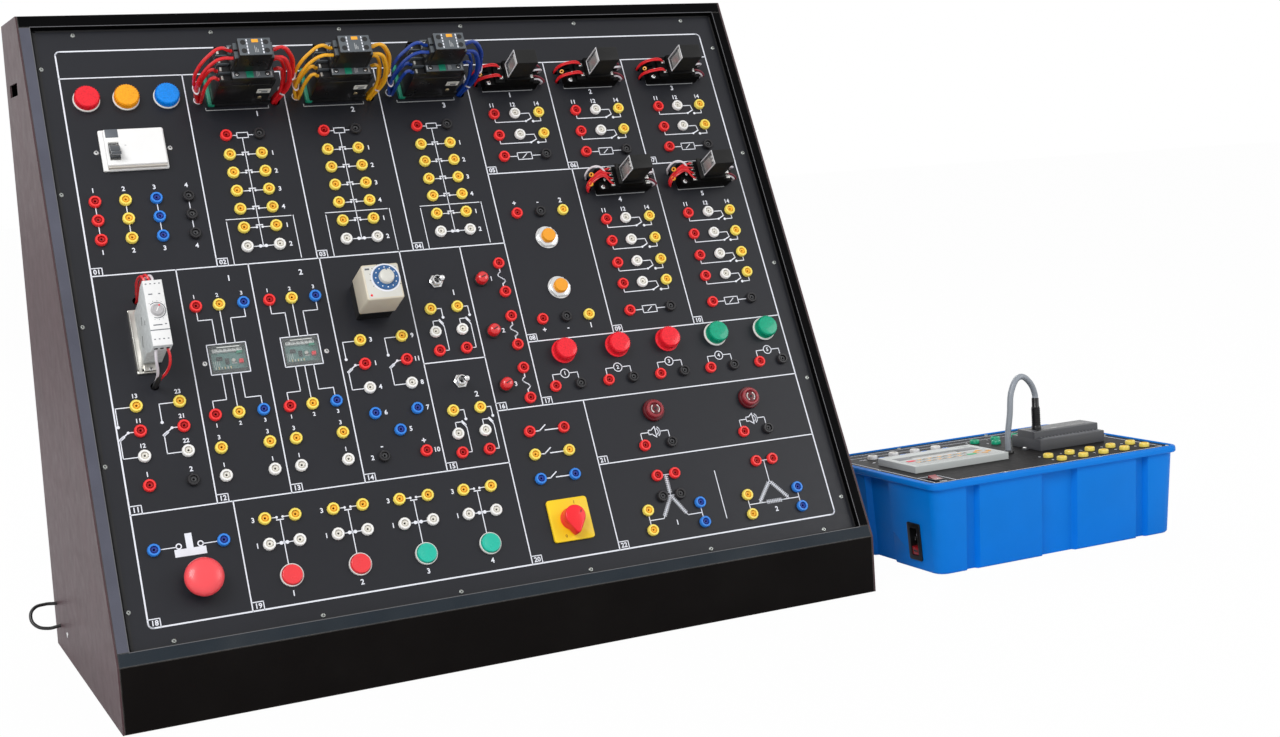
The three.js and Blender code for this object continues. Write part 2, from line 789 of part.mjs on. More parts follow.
function contactor() {
  const bodyTop = contactorBase + contactorBody;
  const bodyLength = contactorLength - contactorBodyInset * 2;
  const noseLength = contactorLength - contactorNoseInset * 2;
  const parts = [
    block(0, 0, seatGap, contactorBase, contactorLength, contactorBreadth),
    block(0, 0, contactorBase - joinDepth, bodyTop, bodyLength, contactorBreadth),
    block(contactorNoseShift, 0, bodyTop - joinDepth, auxFloor, noseLength, contactorBreadth - joinDepth),
  ];
  const pitch = contactorBreadth / terminalCount;
  const reach = contactorLength / 2 - contactorBodyInset;
  for (let n = 0; n < terminalCount; n += 1) {
    const y = (n + 0.5) * pitch - contactorBreadth / 2;
    for (const side of [-1, 1]) {
      const x = side * (reach - terminalReach / 2);
      parts.push(block(x, y, bodyTop - joinDepth, bodyTop + terminalDepth, terminalReach, terminalBreadth));
    }
  }
  return join(...parts);
}

function auxBlock() {
  const low = auxFloor + seatGap;
  const high = low + auxHeight;
  return join(
    block(auxShift, auxRise, low, high, auxLength, auxBreadth),
    block(auxShift, auxRise, low, high - auxStep * 2, auxLength + auxStep * 2, auxBreadth - auxStep),
  );
}

function contactorLeads() {
  const reach = contactorHoleReach;
  const routes = [...leftLeadRoutes, ...rightLeadRoutes];
  const loom = [
    [reach.left - loomRadius / 2, reach.leftRise, -loomDepth],
    [reach.right + loomRadius / 2, reach.rightRise, -loomDepth],
  ];
  return join(
    tube(loom, loomRadius, 8, 1),
    ...routes.map((route) => tube(route, contactorLeadRadius, leadSides, leadSteps)),
  );
}

function contactors() {
  const leadFinishes = [finishes.red, finishes.yellow, finishes.blue];
  contactorSpots().forEach(([x, y], n) => {
    const group = standing(face, x, y);
    place(group, `contactor_${n + 1}`, contactor(), finishes.deviceGrey);
    place(group, `aux_block_${n + 1}`, auxBlock(), finishes.deviceGrey);
    place(group, `contactor_leads_${n + 1}`, contactorLeads(), leadFinishes[n]);
  });
}

// Relays on their sockets
function relayHoles() {
  const [reach] = relayLeadRoute[relayLeadRoute.length - 1];
  return relayShares.map(spot).flatMap(([x, y]) => relayLeadRises.flatMap((rise) => [
    [x - reach, y + rise],
    [x + reach, y + rise],
  ]));
}

function relaySocket() {
  const leads = relayLeadRises.flatMap((rise) => [-1, 1].map((side) => {
    const route = relayLeadRoute.map(([across, out]) => [side * across, rise, out]);
    return tube(route, relayLeadRadius, leadSides, relayLeadSteps);
  }));
  return join(
    block(0, 0, seatGap, relaySocketEnd, relaySocketLength, relaySocketBreadth),
    block(
      0,
      0,
      seatGap,
      relaySocketTop,
      relaySocketLength - relaySocketEndLength * 2,
      relaySocketBreadth - joinDepth,
    ),
    ...leads,
  );
}

function relayCan() {
  const low = relaySocketTop + seatGap;
  const high = low + relayHeight;
  return join(
    block(relayShift, 0, low, high - relayRim, relayLength, relayBreadth),
    block(relayShift, 0, low, high, relayLength - relayRim * 2, relayBreadth - relayRim * 2),
  );
}

function relays() {
  relayShares.map(spot).forEach(([x, y], n) => {
    const group = standing(face, x, y);
    place(group, `relay_socket_${n + 1}`, relaySocket(), finishes.rubber);
    place(group, `relay_${n + 1}`, relayCan(), finishes.clear);
  });
}

// Supply breaker: a plate and cover with a window for the lever
function breaker() {
  const [x, y] = spot(breakerShares);
  const group = standing(face, x, y, seatGap);
  const coverTop = breakerPlate + breakerCoverDepth;
  const body = join(
    block(0, 0, 0, breakerPlate, breakerWidth, breakerHeight),
    block(breakerCoverShift, 0, breakerPlate - joinDepth, coverTop, breakerCoverWidth, breakerCoverHeight),
  );
  const windowLow = coverTop - leverWindowDepth;
  const leverWindow = block(
    -leverWindowShift,
    -leverWindowDrop,
    windowLow,
    coverTop + overrun,
    leverWindowWidth,
    leverWindowLength,
  );
  place(group, 'breaker_body', cut(body, leverWindow), finishes.white);
  const pivot = standing(group, -leverWindowShift, -leverWindowDrop, windowLow + leverDrum + seatGap);
  pivot.rotation.x = leverTilt;
  const drum = new THREE.CylinderGeometry(leverDrum, leverDrum, leverWidth, 20).rotateZ(Math.PI / 2);
  place(pivot, 'breaker_lever', join(
    drum,
    block(0, 0, 0, leverDrum + leverLength, leverWidth, leverDrum / 2),
  ), finishes.rubber);
}

// Time relay with its bracket and leads
function timerHoles() {
  const [x, y] = spot(timerShares);
  const reach = timerHoleReach;
  return [
    [x + timerBodyShift + reach.topShift, y + reach.top],
    [x + timerBodyShift + reach.bottomShift, y + reach.bottom],
  ];
}

function timer() {
  const [x, y] = spot(timerShares);
  const group = standing(face, x, y);
  const head = timerHeadHeight / 2;
  const body = timerBodyHeight / 2;
  const headLow = timerDepth - timerHeadDepth;
  const side = [
    [-body, timerBracketDepth - joinDepth],
    [body, timerBracketDepth - joinDepth],
    [body, headLow - timerShoulder],
    [head, headLow],
    [head, timerDepth],
    [-head, timerDepth],
    [-head, headLow],
    [-body, headLow - timerShoulder],
  ].map(([up, out]) => [up + timerBodyRise, out]);
  const width = timerWidth / 2;
  const routes = [...timerTopRoutes, ...timerBottomRoutes].map((route) => (
    route.map(([across, up, out]) => [across + timerBodyShift, up, out])
  ));
  place(group, 'timer_body', join(
    block(0, 0, seatGap, timerBracketDepth, timerBracketWidth, timerBracketHeight),
    prismAlongX(side, timerBodyShift - width, timerBodyShift + width),
    ...routes.map((route) => tube(route, timerLeadRadius, leadSides, leadSteps)),
  ), finishes.timerGrey);
  const dial = standing(group, timerBodyShift, timerDialRise, timerDepth + seatGap);
  place(dial, 'timer_dial', join(
    rod(0, 0, 0, timerDialHeight, timerDialRadius, 20),
  ), finishes.timerGrey);
}

// Flicker timer on its plug-in socket
function flickerTimer() {
  const [x, y] = spot(flickerShares);
  const group = standing(face, x, y);
  const top = flickerSocketDepth + flickerDepth;
  const inset = flickerSocketInset * 2;
  place(group, 'flicker_timer_body', join(
    block(0, 0, seatGap, flickerSocketDepth, flickerWidth - inset, flickerHeight),
    block(0, 0, flickerSocketDepth - joinDepth, top, flickerWidth, flickerHeight + flickerSocketInset),
  ), finishes.cream);
  const dial = standing(group, flickerDialShift, flickerDialRise, top + seatGap);
  place(dial, 'flicker_timer_dial', join(
    rod(0, 0, 0, flickerSkirt, flickerSkirtRadius, 24),
    rod(0, 0, 0, flickerKnobHeight, flickerKnobRadius, 20),
  ), finishes.blue);
}

// Rows of panel fittings, each row linked behind the panel
function linked(points, fitting, depth) {
  const links = points.slice(1).map(([x, y], n) => {
    const [fromX, fromY] = points[n];
    return box(
      Math.min(x, fromX) - linkWidth / 2,
      Math.max(x, fromX) + linkWidth / 2,
      Math.min(y, fromY) - linkWidth / 2,
      Math.max(y, fromY) + linkWidth / 2,
      -depth,
      linkHeight - depth,
    );
  });
  return join(...points.flatMap(([x, y]) => fitting(x, y)), ...links);
}

function lamps() {
  const lamp = (lensRadius, lens) => (x, y) => [
    rod(x, y, seatGap, lampFlange, lampFlangeRadius, capSides),
    rod(x, y, lampFlange - joinDepth, lampFlange + lens, lensRadius, capSides, lensRadius - joinDepth),
    rod(x, y, -lampBarrel, lampFlange - joinDepth / 2, lampBarrelRadius - seatGap, barrelSides),
  ];
  const phase = linked(spotsAlong(phaseLampShares), lamp(phaseLensRadius, phaseLens), lampBarrel);
  place(face, 'phase_lamps', phase, finishes.red);
  const signal = linked(spotsAlong(signalLampShares), lamp(signalLensRadius, signalLens), lampBarrel);
  place(face, 'signal_lamps', signal, finishes.red);
}

function buzzers() {
  place(face, 'buzzers', linked(spotsAlong(buzzerShares), (x, y) => [
    rod(x, y, seatGap, buzzerSkirt, buzzerRadius, capSides),
    rod(x, y, buzzerSkirt - joinDepth, buzzerSkirt + buzzerLens, buzzerLensRadius, capSides),
    rod(x, y, -lampBarrel, buzzerSkirt - joinDepth * 2, lampBarrelRadius - seatGap, barrelSides),
  ], lampBarrel), finishes.darkRed);
}

function fuseHolders() {
  place(face, 'fuse_holders', linked(spotsAlong(fuseShares), (x, y) => [
    rod(x, y, seatGap, fuseFlange, fuseFlangeRadius, 12),
    rod(x, y, fuseFlange - joinDepth, fuseFlange + fuseCap, fuseCapRadius, 12),
    rod(x, y, -fuseBarrel, fuseFlange - joinDepth / 2, fuseBarrelRadius - seatGap, barrelSides),
  ], fuseBarrel), finishes.rubber);
}

function proximitySensors() {
  place(face, 'proximity_sensors', linked(spotsAlong(sensorShares), (x, y) => [
    rod(x, y, seatGap, sensorNut, sensorNutRadius, 6),
    rod(x, y, -sensorBarrel, sensorNut - joinDepth, sensorBarrelRadius - seatGap, barrelSides),
    rod(x, y, sensorNut - joinDepth, sensorNut + sensorCap, sensorBarrelRadius - seatGap, capSides),
  ], sensorLink), finishes.chrome);
}

// Overload relay boards on posts behind their windows
function overloadRelays() {
  const boardTop = -panelThickness - boardDrop;
  const boardLow = boardTop - boardThickness;
  const postTop = -panelThickness - seatGap;
  const reachX = boardWidth / 2 - boardPostInset;
  const reachY = boardHeight / 2 - boardPostInset;
  const posts = (x, y) => [[-1, -1], [1, -1], [1, 1], [-1, 1]].map(([sx, sy]) => (
    block(x + sx * reachX, y + sy * reachY, boardLow, postTop, boardPost, boardPost)
  ));
  place(face, 'overload_relays', linked(spotsAlong(overloadShares), (x, y) => [
    block(x, y, boardLow, boardTop, boardWidth, boardHeight),
    block(
      x,
      y + terminalBlockRise,
      boardLow,
      -terminalBlockSetback,
      terminalBlockWidth,
      terminalBlockHeight,
    ),
    ...posts(x, y),
  ], -boardLow), finishes.board);
}

// Push buttons
function buttonSpots() {
  return [0, 1, 2, 3].map((n) => spot({ u: buttonShares.u + n * buttonPitchShare, v: buttonShares.v }));
}

function pushButtons() {
  const caps = [finishes.red, finishes.red, finishes.green, finishes.green];
  buttonSpots().forEach(([x, y], n) => {
    const group = standing(face, x, y);
    place(group, `push_button_${n + 1}`, join(
      rod(0, 0, -buttonSkirt, buttonCrown, buttonRadius, capSides),
      rod(0, 0, -buttonSkirt - buttonStem, -buttonSkirt + joinDepth, buttonStemRadius, barrelSides),
    ), caps[n]);
  });
}

// Emergency stop: a sliding shank with the twist head on its spigot
function emergencyStop() {
  const [x, y] = spot(stopShares);
  const group = standing(face, x, y);
  place(group, 'emergency_stop_shank', join(
    rod(0, 0, -stopShankDrop, stopShankTop, stopShankRadius, capSides),
    rod(0, 0, stopShankTop - joinDepth, stopShankTop + stopSpigot, stopSpigotRadius, 12),
  ), finishes.deviceGrey);
  const head = standing(group, 0, 0, stopShankTop + seatGap);
  const spigotRoom = stopSpigot + runningGap;
  const bore = stopSpigotRadius + runningGap;
  const shoulder = (stopHeadRadius + stopHeadNeckRadius) / 2;
  const crown = stopHeadRadius - stopHeadEdge;
  place(head, 'emergency_stop_head', join(turned([
    [0, spigotRoom],
    [bore, spigotRoom],
    [bore, 0],
    [stopHeadNeckRadius, 0],
    [shoulder, stopHeadEdge / 2],
    [stopHeadRadius, stopHeadEdge],
    [stopHeadRadius, stopHeadHeight - stopHeadEdge],
    [crown, stopHeadHeight - stopHeadEdge / 4],
    [0, stopHeadHeight],
  ], 24)), finishes.red);
}

// Selector switch
function selector() {
  const [x, y] = spot(selectorShares);
  const group = standing(face, x, y, seatGap);
  const boreRadius = selectorShaftRadius + runningGap;
  const plate = join(block(0, 0, 0, selectorPlateHeight, selectorPlateWidth, selectorPlateWidth));
  const bore = rod(0, 0, -overrun, overrun, boreRadius, 12);
  place(group, 'selector_plate', cut(plate, bore), finishes.yellow);
  const knob = standing(group, 0, 0, selectorPlateHeight + seatGap);
  place(knob, 'selector_knob', join(
    rod(0, 0, 0, selectorDisc, selectorDiscRadius, 24),
    prismAlongZ(gripOutline(), 0, selectorDisc + selectorGrip),
    rod(0, 0, -selectorShaft, selectorDisc, selectorShaftRadius, 12),
  ), finishes.red);
}

// The grip is a drop: a round heel drawn out to a small nose that points down the panel
function gripOutline() {
  const noseY = selectorNoseRadius - selectorReach;
  const lean = Math.asin((selectorGripRadius - selectorNoseRadius) / -noseY);
  const points = [];
  for (let i = 0; i <= gripSteps; i += 1) {
    const angle = -lean + (i / gripSteps) * (Math.PI + lean * 2);
    points.push([selectorGripRadius * Math.cos(angle), selectorGripRadius * Math.sin(angle)]);
  }
  for (let i = 0; i <= noseSteps; i += 1) {
    const angle = Math.PI + lean + (i / noseSteps) * (Math.PI - lean * 2);
    points.push([selectorNoseRadius * Math.cos(angle), noseY + selectorNoseRadius * Math.sin(angle)]);
  }
  return points;
}

// Toggle levers, each rocking on its ball inside the bush
function toggles() {
  toggleShares.map(spot).forEach(([x, y], n) => {
    const lever = standing(face, x, y, togglePivot);
    lever.rotation.x = toggleTilt;
    place(lever, `toggle_lever_${n + 1}`, join(turned([
      [0, -toggleBall],
      [toggleBall, -toggleBall / 3],
      [toggleBall, toggleBall / 3],
      [toggleNeck, toggleBall],
      [toggleTip, toggleLength - toggleTip],
      [toggleTip / 2, toggleLength],
      [0, toggleLength],
    ], 12)), finishes.chrome);
  });
}

// Lead loop at the left side
function sideLead() {
  const rear = standing(trainer, 0, consoleDepth);
  place(rear, 'side_lead_loop', join(tube(sideLeadRoute, sideLeadRadius, 8, 18)), finishes.rubber);
}

// Controller unit: the tub, its top panel and the fittings on it
function narrowed(shape, height) {
  const places = shape.attributes.position;
  for (let i = 0; i < places.count; i += 1) {
    const share = 1 - places.getZ(i) / height;
    const shrinkX = 1 - (share * unitTaper * 2) / unitWidth;
    const shrinkY = 1 - (share * unitTaper * 2) / unitDepth;
    places.setX(i, places.getX(i) * shrinkX);
    places.setY(i, places.getY(i) * shrinkY);
  }
  return shape;
}

// A groove's cutter, which leans with the wall that faces +Y
function band(width) {
  const inner = width / 2 - bandSlant;
  const outer = width / 2 + bandSlant;
  const lean = new THREE.Matrix4().makeShear(0, 0, 0, 0, 0, unitTaper / unitHeight);
  return prismAlongZ(
    [[-inner, -bandDepth], [inner, -bandDepth], [outer, bandDepth], [-outer, bandDepth]],
    -overrun,
    unitHeight - rimHeight,
  ).applyMatrix4(lean);
}

function unitCase() {
  const bodyWidth = unitWidth - rimWidth * 2;
  const bodyDepth = unitDepth - rimWidth * 2;
  const straight = prismAlongZ(roundedOutline(bodyWidth, bodyDepth, unitCorner, 3), 0, unitHeight);
  const tub = narrowed(straight, unitHeight);
  const rimOutline = roundedOutline(unitWidth, unitDepth, unitCorner, 3);
  const rim = prismAlongZ(rimOutline, unitHeight - rimHeight, unitHeight);
  const seat = unitHeight - unitPanelThickness - unitPanelRecess - seatGap;
  const roomWidth = bodyWidth - unitWall * 2 - unitTaper * 2;
  const roomDepth = bodyDepth - unitWall * 2 - unitTaper * 2;
  const roomOutline = roundedOutline(roomWidth, roomDepth, unitWall, 2);
  const room = prismAlongZ(roomOutline, unitFloor, unitHeight + overrun);
  const panelWidth = unitWidth - unitPanelInset * 2 + seatGap * 2;
  const panelDepth = unitDepth - unitPanelInset * 2 + seatGap * 2;
  const rebateOutline = roundedOutline(panelWidth, panelDepth, unitCorner, 3);
  const rebate = prismAlongZ(rebateOutline, seat, unitHeight + overrun);
  const bandPlaces = [
    ...bandShares.map((share) => ({ width: bandWidth, share })),
    { width: wideBandWidth, share: wideBandShare },
  ];
  const bands = [0, Math.PI].flatMap((turn) => [
    ...bandPlaces.map(({ width, share }) => (
      band(width).translate((share - 0.5) * bodyWidth, bodyDepth / 2 - unitTaper, 0).rotateZ(turn)
    )),
    band(wideBandWidth).translate(0, bodyWidth / 2 - unitTaper, 0).rotateZ(turn + Math.PI / 2),
  ]);
  const inletWindow = box(
    -inletBody - overrun,
    overrun,
    -(inletWidth / 2 - inletBodyInset + runningGap),
    inletWidth / 2 - inletBodyInset + runningGap,
    -(inletHeight / 2 - inletBodyInset + runningGap),
    inletHeight / 2 - inletBodyInset + runningGap,
  ).applyMatrix4(inletMatrix());
  const openings = [room, rebate, ...bands, inletWindow];
  place(unit, 'plc_case', cut(join(tub, rim), ...openings), finishes.caseBlue);
}

function unitSpot({ x, y }) {
  return [(x - 0.5) * unitWidth, (y - 0.5) * unitDepth];
}

function rockerSpot() {
  return [rockerMargin - unitWidth / 2, (rockerShare - 0.5) * unitDepth];
}

const unitPanelTop = unitHeight - unitPanelRecess;

function unitPanel() {
  const low = unitPanelTop - unitPanelThickness;
  const plate = prismAlongZ(
    roundedOutline(unitWidth - unitPanelInset * 2, unitDepth - unitPanelInset * 2, unitCorner, 3),
    low,
    unitPanelTop,
  );
  const heads = unitSocketShares.flatMap((row) => row.y.flatMap((y) => row.x.map((x) => unitSpot({ x, y }))))
    .map(([x, y]) => socketHead([x, y]).translate(0, 0, unitPanelTop));
  const [rockerX, rockerY] = rockerSpot();
  const [grommetX, grommetY] = unitSpot(grommetShares);
  const bezelTop = unitPanelTop + rockerBezelHeight;
  const bezel = block(rockerX, rockerY, low, bezelTop, rockerBezelWidth, rockerBezelLength);
  const grommet = rod(grommetX, grommetY, low, unitPanelTop + grommetHeight, grommetRadius, 16);
  const hole = block(rockerX, rockerY, low - overrun, bezelTop + overrun, rockerHoleWidth, rockerHoleLength);
  const entry = rod(grommetX, grommetY, low - overrun, bezelTop + overrun, programLeadRadius + seatGap, 12);
  place(unit, 'plc_top_panel', cut(join(plate, ...heads, bezel, grommet), hole, entry), finishes.panelBlack);
}

function operatorPanel() {
  const [x, y] = unitSpot(operatorShares);
  const group = standing(unit, x, y, unitPanelTop + seatGap);
  const slab = join(
    block(0, 0, 0, operatorThickness - operatorBevel, operatorWidth, operatorHeight),
    block(0, 0, 0, operatorThickness, operatorWidth - operatorBevel * 2, operatorHeight - operatorBevel * 2),
    ...keyRowShares.flatMap((row) => row.x.map((across) => block(
      across * operatorWidth,
      row.y * operatorHeight,
      operatorThickness - joinDepth,
      operatorThickness + keyRise,
      keyWidth,
      keyHeight,
    ))),
  );
  const display = block(
    displayShares.x * operatorWidth,
    displayShares.y * operatorHeight,
    operatorThickness - displayDepth,
    operatorThickness + overrun,
    displayWidth,
    displayHeight,
  );
  place(group, 'operator_panel', cut(slab, display), finishes.panelGrey);
}

function plcModule() {
  const [x, y] = unitSpot(moduleShares);
  const group = standing(unit, x, y, unitPanelTop + seatGap);
  place(group, 'plc_module', join(
    block(0, 0, 0, moduleStepHeight, moduleWidth, moduleLength),
    block(0, 0, 0, moduleHeight, moduleWidth, moduleLength - moduleStepLength * 2),
  ), finishes.deviceGrey);
  const plug = standing(group, plugShare.x * moduleWidth, plugShare.y * moduleLength, moduleHeight + seatGap);
  place(plug, 'lead_plug', join(
    rod(0, 0, 0, plugLength, plugRadius, 16, plugRadius - joinDepth),
  ), finishes.rubber);
}

// The programming lead arches from its grommet to the plug
function programLead() {
  const [startX, startY] = unitSpot(grommetShares);
  const [moduleX, moduleY] = unitSpot(moduleShares);
  const endX = moduleX + plugShare.x * moduleWidth;
  const endY = moduleY + plugShare.y * moduleLength;
  const plugTop = unitPanelTop + seatGap * 3 + moduleHeight + plugLength;
  const low = unitPanelTop - unitPanelThickness;
  const peak = unitPanelTop + programLeadRise;
  const arch = programLeadShares.map(([across, back, up]) => [
    startX + across * (endX - startX),
    startY + back * (endY - startY),
    unitPanelTop + up * programLeadRise,
  ]);
  place(unit, 'programming_lead', join(tube([
    [startX, startY, low],
    ...arch,
    [endX, endY, plugTop + (peak - plugTop) * plugEntryShare],
    [endX, endY, plugTop],
  ], programLeadRadius, 8, 22)), finishes.leadGrey);
}

function rockerSwitch() {
  const [x, y] = rockerSpot();
  const pivot = standing(unit, x, y, unitPanelTop);
  pivot.rotation.x = rockerTilt;
  const half = rockerLength / 2;
  const width = rockerWidth / 2;
  const side = [
    [half * rockerKeelShare, -rockerKeel / 2],
    [half, rockerTop / 2],
    [half, rockerTop + joinDepth],
    [0, rockerTop],
    [-half, rockerTop + joinDepth],
    [-half, rockerTop / 2],
    [-half * rockerKeelShare, -rockerKeel / 2],
    [0, -rockerKeel],
  ];
  place(pivot, 'rocker_switch', join(prismAlongX(side, -width, width)), finishes.red);
}

// The inlet stands square to the leaning left wall of the tub
function inletMatrix() {
  const lean = Math.atan(unitTaper / unitHeight);
  const wallX = -(unitWidth / 2 - rimWidth - unitTaper * (1 - inletRise / unitHeight));
  const turn = new THREE.Matrix4().makeRotationY(-lean);
  const toWall = new THREE.Matrix4().makeTranslation(wallX, inletPlace - unitDepth / 2, inletRise);
  const outward = new THREE.Matrix4().makeRotationZ(Math.PI);
  return toWall.multiply(turn).multiply(outward);
}

function powerInlet() {
  const bodyWidth = inletWidth - inletBodyInset * 2;
  const bodyHeight = inletHeight - inletBodyInset * 2;
  const recessWidth = inletWidth - inletRecessInset * 2;
  const recessHeight = inletHeight - inletRecessInset * 2;
  const upright = (depth0, depth1, width, height) => (
    box(depth0, depth1, -width / 2, width / 2, -height / 2, height / 2)
  );
  const whole = cut(join(
    upright(seatGap, seatGap + inletFlange, inletWidth, inletHeight),
    upright(-inletBody, seatGap + joinDepth, bodyWidth, bodyHeight),
  ), upright(inletFlange - inletRecess, inletFlange + overrun, recessWidth, recessHeight));
  const group = new THREE.Group();
  group.applyMatrix4(inletMatrix());
  unit.add(group);
  place(group, 'power_inlet', whole, finishes.rubber);
}

// Put the set together
sidePanels();
caseSheets();
crossRails();
sideRails();
frontPanel();
breaker();
contactors();
relays();
timer();
flickerTimer();
lamps();
buzzers();
fuseHolders();
proximitySensors();
overloadRelays();
pushButtons();
emergencyStop();
selector();
toggles();
sideLead();
unitCase();
unitPanel();
operatorPanel();
plcModule();
programLead();
rockerSwitch();
powerInlet();

// The origin is the middle of the floor that the set covers
trainer.updateMatrixWorld(true);
const reach = new THREE.Box3().setFromObject(trainer, true);
trainer.position.set(-(reach.min.x + reach.max.x) / 2, -(reach.min.y + reach.max.y) / 2, -reach.min.z);

export default trainer;
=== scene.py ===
"""Looks of the sequence control trainer: a sloping switchgear console and its blue controller unit.

Lengths are millimetres in the frame of the face that carries them, and become metres where a piece is placed.
"""

import math

import bmesh
import bpy
from mathutils import Matrix, Vector


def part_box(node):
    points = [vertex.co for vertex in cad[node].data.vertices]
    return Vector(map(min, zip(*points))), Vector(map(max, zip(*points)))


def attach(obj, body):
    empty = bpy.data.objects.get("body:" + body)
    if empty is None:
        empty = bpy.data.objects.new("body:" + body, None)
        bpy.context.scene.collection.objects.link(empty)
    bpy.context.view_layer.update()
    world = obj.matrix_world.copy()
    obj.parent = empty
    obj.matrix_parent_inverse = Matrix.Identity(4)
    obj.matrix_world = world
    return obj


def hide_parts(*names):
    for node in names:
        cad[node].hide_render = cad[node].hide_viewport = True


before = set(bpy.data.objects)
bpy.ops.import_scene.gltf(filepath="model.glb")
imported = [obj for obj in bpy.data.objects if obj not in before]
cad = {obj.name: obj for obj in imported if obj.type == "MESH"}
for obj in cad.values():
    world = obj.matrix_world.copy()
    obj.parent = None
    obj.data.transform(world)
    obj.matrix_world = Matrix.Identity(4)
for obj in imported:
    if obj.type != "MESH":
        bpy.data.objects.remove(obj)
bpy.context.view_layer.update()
scene = bpy.context.scene

# Sizes of the case, and the frames that its faces stand in
METRE = 0.001
SLOPE_ANGLE = math.radians(65)
APRON_HEIGHT = 67
SIDE_MARGIN = 37
TOP_MARGIN = 41
BOTTOM_MARGIN = 35.5
PANEL_RECESS = 8
PANEL_THICKNESS = 3
SLOPE_LENGTH = 728
RAIL_WIDTH = 14
SEAT_GAP = 0.3
case_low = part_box("left_side_panel")[0] / METRE
case_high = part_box("right_side_panel")[1] / METRE
CONSOLE_WIDTH = case_high.x - case_low.x
CONSOLE_DEPTH = case_high.y - case_low.y
FIELD_WIDTH = CONSOLE_WIDTH - SIDE_MARGIN * 2
FIELD_HEIGHT = SLOPE_LENGTH - TOP_MARGIN - BOTTOM_MARGIN
unit_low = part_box("plc_case")[0] / METRE
unit_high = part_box("plc_case")[1] / METRE
UNIT_WIDTH = unit_high.x - unit_low.x
UNIT_DEPTH = unit_high.y - unit_low.y


def stand(x, y, z, tilt=0.0):
    """A frame in millimetres at a point of the row frame, tilted back about its own X."""
    return Matrix.Scale(METRE, 4) @ Matrix.Translation((x, y, z)) @ Matrix.Rotation(tilt, 4, "X")


SLOPE = stand(case_low.x, case_low.y, APRON_HEIGHT, SLOPE_ANGLE)
FACE = SLOPE @ Matrix.Translation((SIDE_MARGIN, BOTTOM_MARGIN, -PANEL_RECESS))
CASE = stand(case_low.x, case_low.y, 0)
UNIT = stand((unit_low.x + unit_high.x) / 2, (unit_low.y + unit_high.y) / 2, 0)
UNIT_TOP = unit_high.z - 2


def spot(u, v):
    """A place on the printed field from its shares across and down."""
    return u * FIELD_WIDTH, (1 - v) * FIELD_HEIGHT


# Camera and studio
CAMERA_PLACE = (-0.9301, -2.0243, 0.5312)
CAMERA_TURN = (85.046, 3.508, -27.005)
CAMERA_LENS = 51.1
CAMERA_SHIFT = (-0.0336, -0.0436)
FLOOR_SIZE = 60


def camera():
    data = bpy.data.cameras.new("camera")
    data.lens = CAMERA_LENS
    data.shift_x, data.shift_y = CAMERA_SHIFT
    data.clip_start = 0.01
    made = bpy.data.objects.new("camera", data)
    scene.collection.objects.link(made)
    made.location = CAMERA_PLACE
    made.rotation_euler = [math.radians(turn) for turn in CAMERA_TURN]
    scene.camera = made


def soft_light(name, place, aim, size, power, colour=(1, 1, 1)):
    data = bpy.data.lights.new(name, "AREA")
    data.shape = "RECTANGLE"
    data.size, data.size_y = size
    data.energy = power
    data.color = colour
    made = bpy.data.objects.new(name, data)
    scene.collection.objects.link(made)
    made.location = place
    direction = Vector(aim) - Vector(place)
    made.rotation_euler = direction.to_track_quat("-Z", "Y").to_euler()


def world_light(strength):
    """A plain pale world: white to the eye and in gloss, and softer as a light."""
    world = bpy.data.worlds.new("studio")
    scene.world = world
    world.use_nodes = True
    nodes, links = world.node_tree.nodes, world.node_tree.links
    back = nodes["Background"]
    back.inputs["Color"].default_value = (1, 1, 1, 1)
    path = nodes.new("ShaderNodeLightPath")
    seen = nodes.new("ShaderNodeMath")
    seen.operation = "MAXIMUM"
    links.new(path.outputs["Is Camera Ray"], seen.inputs[0])
    links.new(path.outputs["Is Transmission Ray"], seen.inputs[1])
    either = nodes.new("ShaderNodeMath")
    either.operation = "MAXIMUM"
    links.new(seen.outputs[0], either.inputs[0])
    links.new(path.outputs["Is Glossy Ray"], either.inputs[1])
    level = nodes.new("ShaderNodeMapRange")
    level.inputs["To Min"].default_value = strength
    level.inputs["To Max"].default_value = 1.0
    links.new(either.outputs[0], level.inputs["Value"])
    links.new(level.outputs["Result"], back.inputs["Strength"])


def studio_floor():
    shape = bmesh.new()
    bmesh.ops.create_grid(shape, x_segments=1, y_segments=1, size=FLOOR_SIZE / 2)
    mesh = bpy.data.meshes.new("studio_floor")
    shape.to_mesh(mesh)
    paper = bpy.data.materials.new("studio_paper")
    paper.use_nodes = True
    nodes, links = paper.node_tree.nodes, paper.node_tree.links
    surface = nodes["Principled BSDF"]
    surface.inputs["Base Color"].default_value = (0.86, 0.86, 0.87, 1)
    surface.inputs["Roughness"].default_value = 0.9
    glow = nodes.new("ShaderNodeEmission")
    path = nodes.new("ShaderNodeLightPath")
    share = nodes.new("ShaderNodeMapRange")
    share.inputs["To Max"].default_value = 0.98
    links.new(path.outputs["Is Camera Ray"], share.inputs["Value"])
    mix = nodes.new("ShaderNodeMixShader")
    links.new(share.outputs["Result"], mix.inputs["Fac"])
    links.new(surface.outputs["BSDF"], mix.inputs[1])
    links.new(glow.outputs["Emission"], mix.inputs[2])
    links.new(mix.outputs["Shader"], nodes["Material Output"].inputs["Surface"])
    mesh.materials.append(paper)
    made = bpy.data.objects.new("studio_floor", mesh)
    made.location.z = -0.001
    scene.collection.objects.link(made)


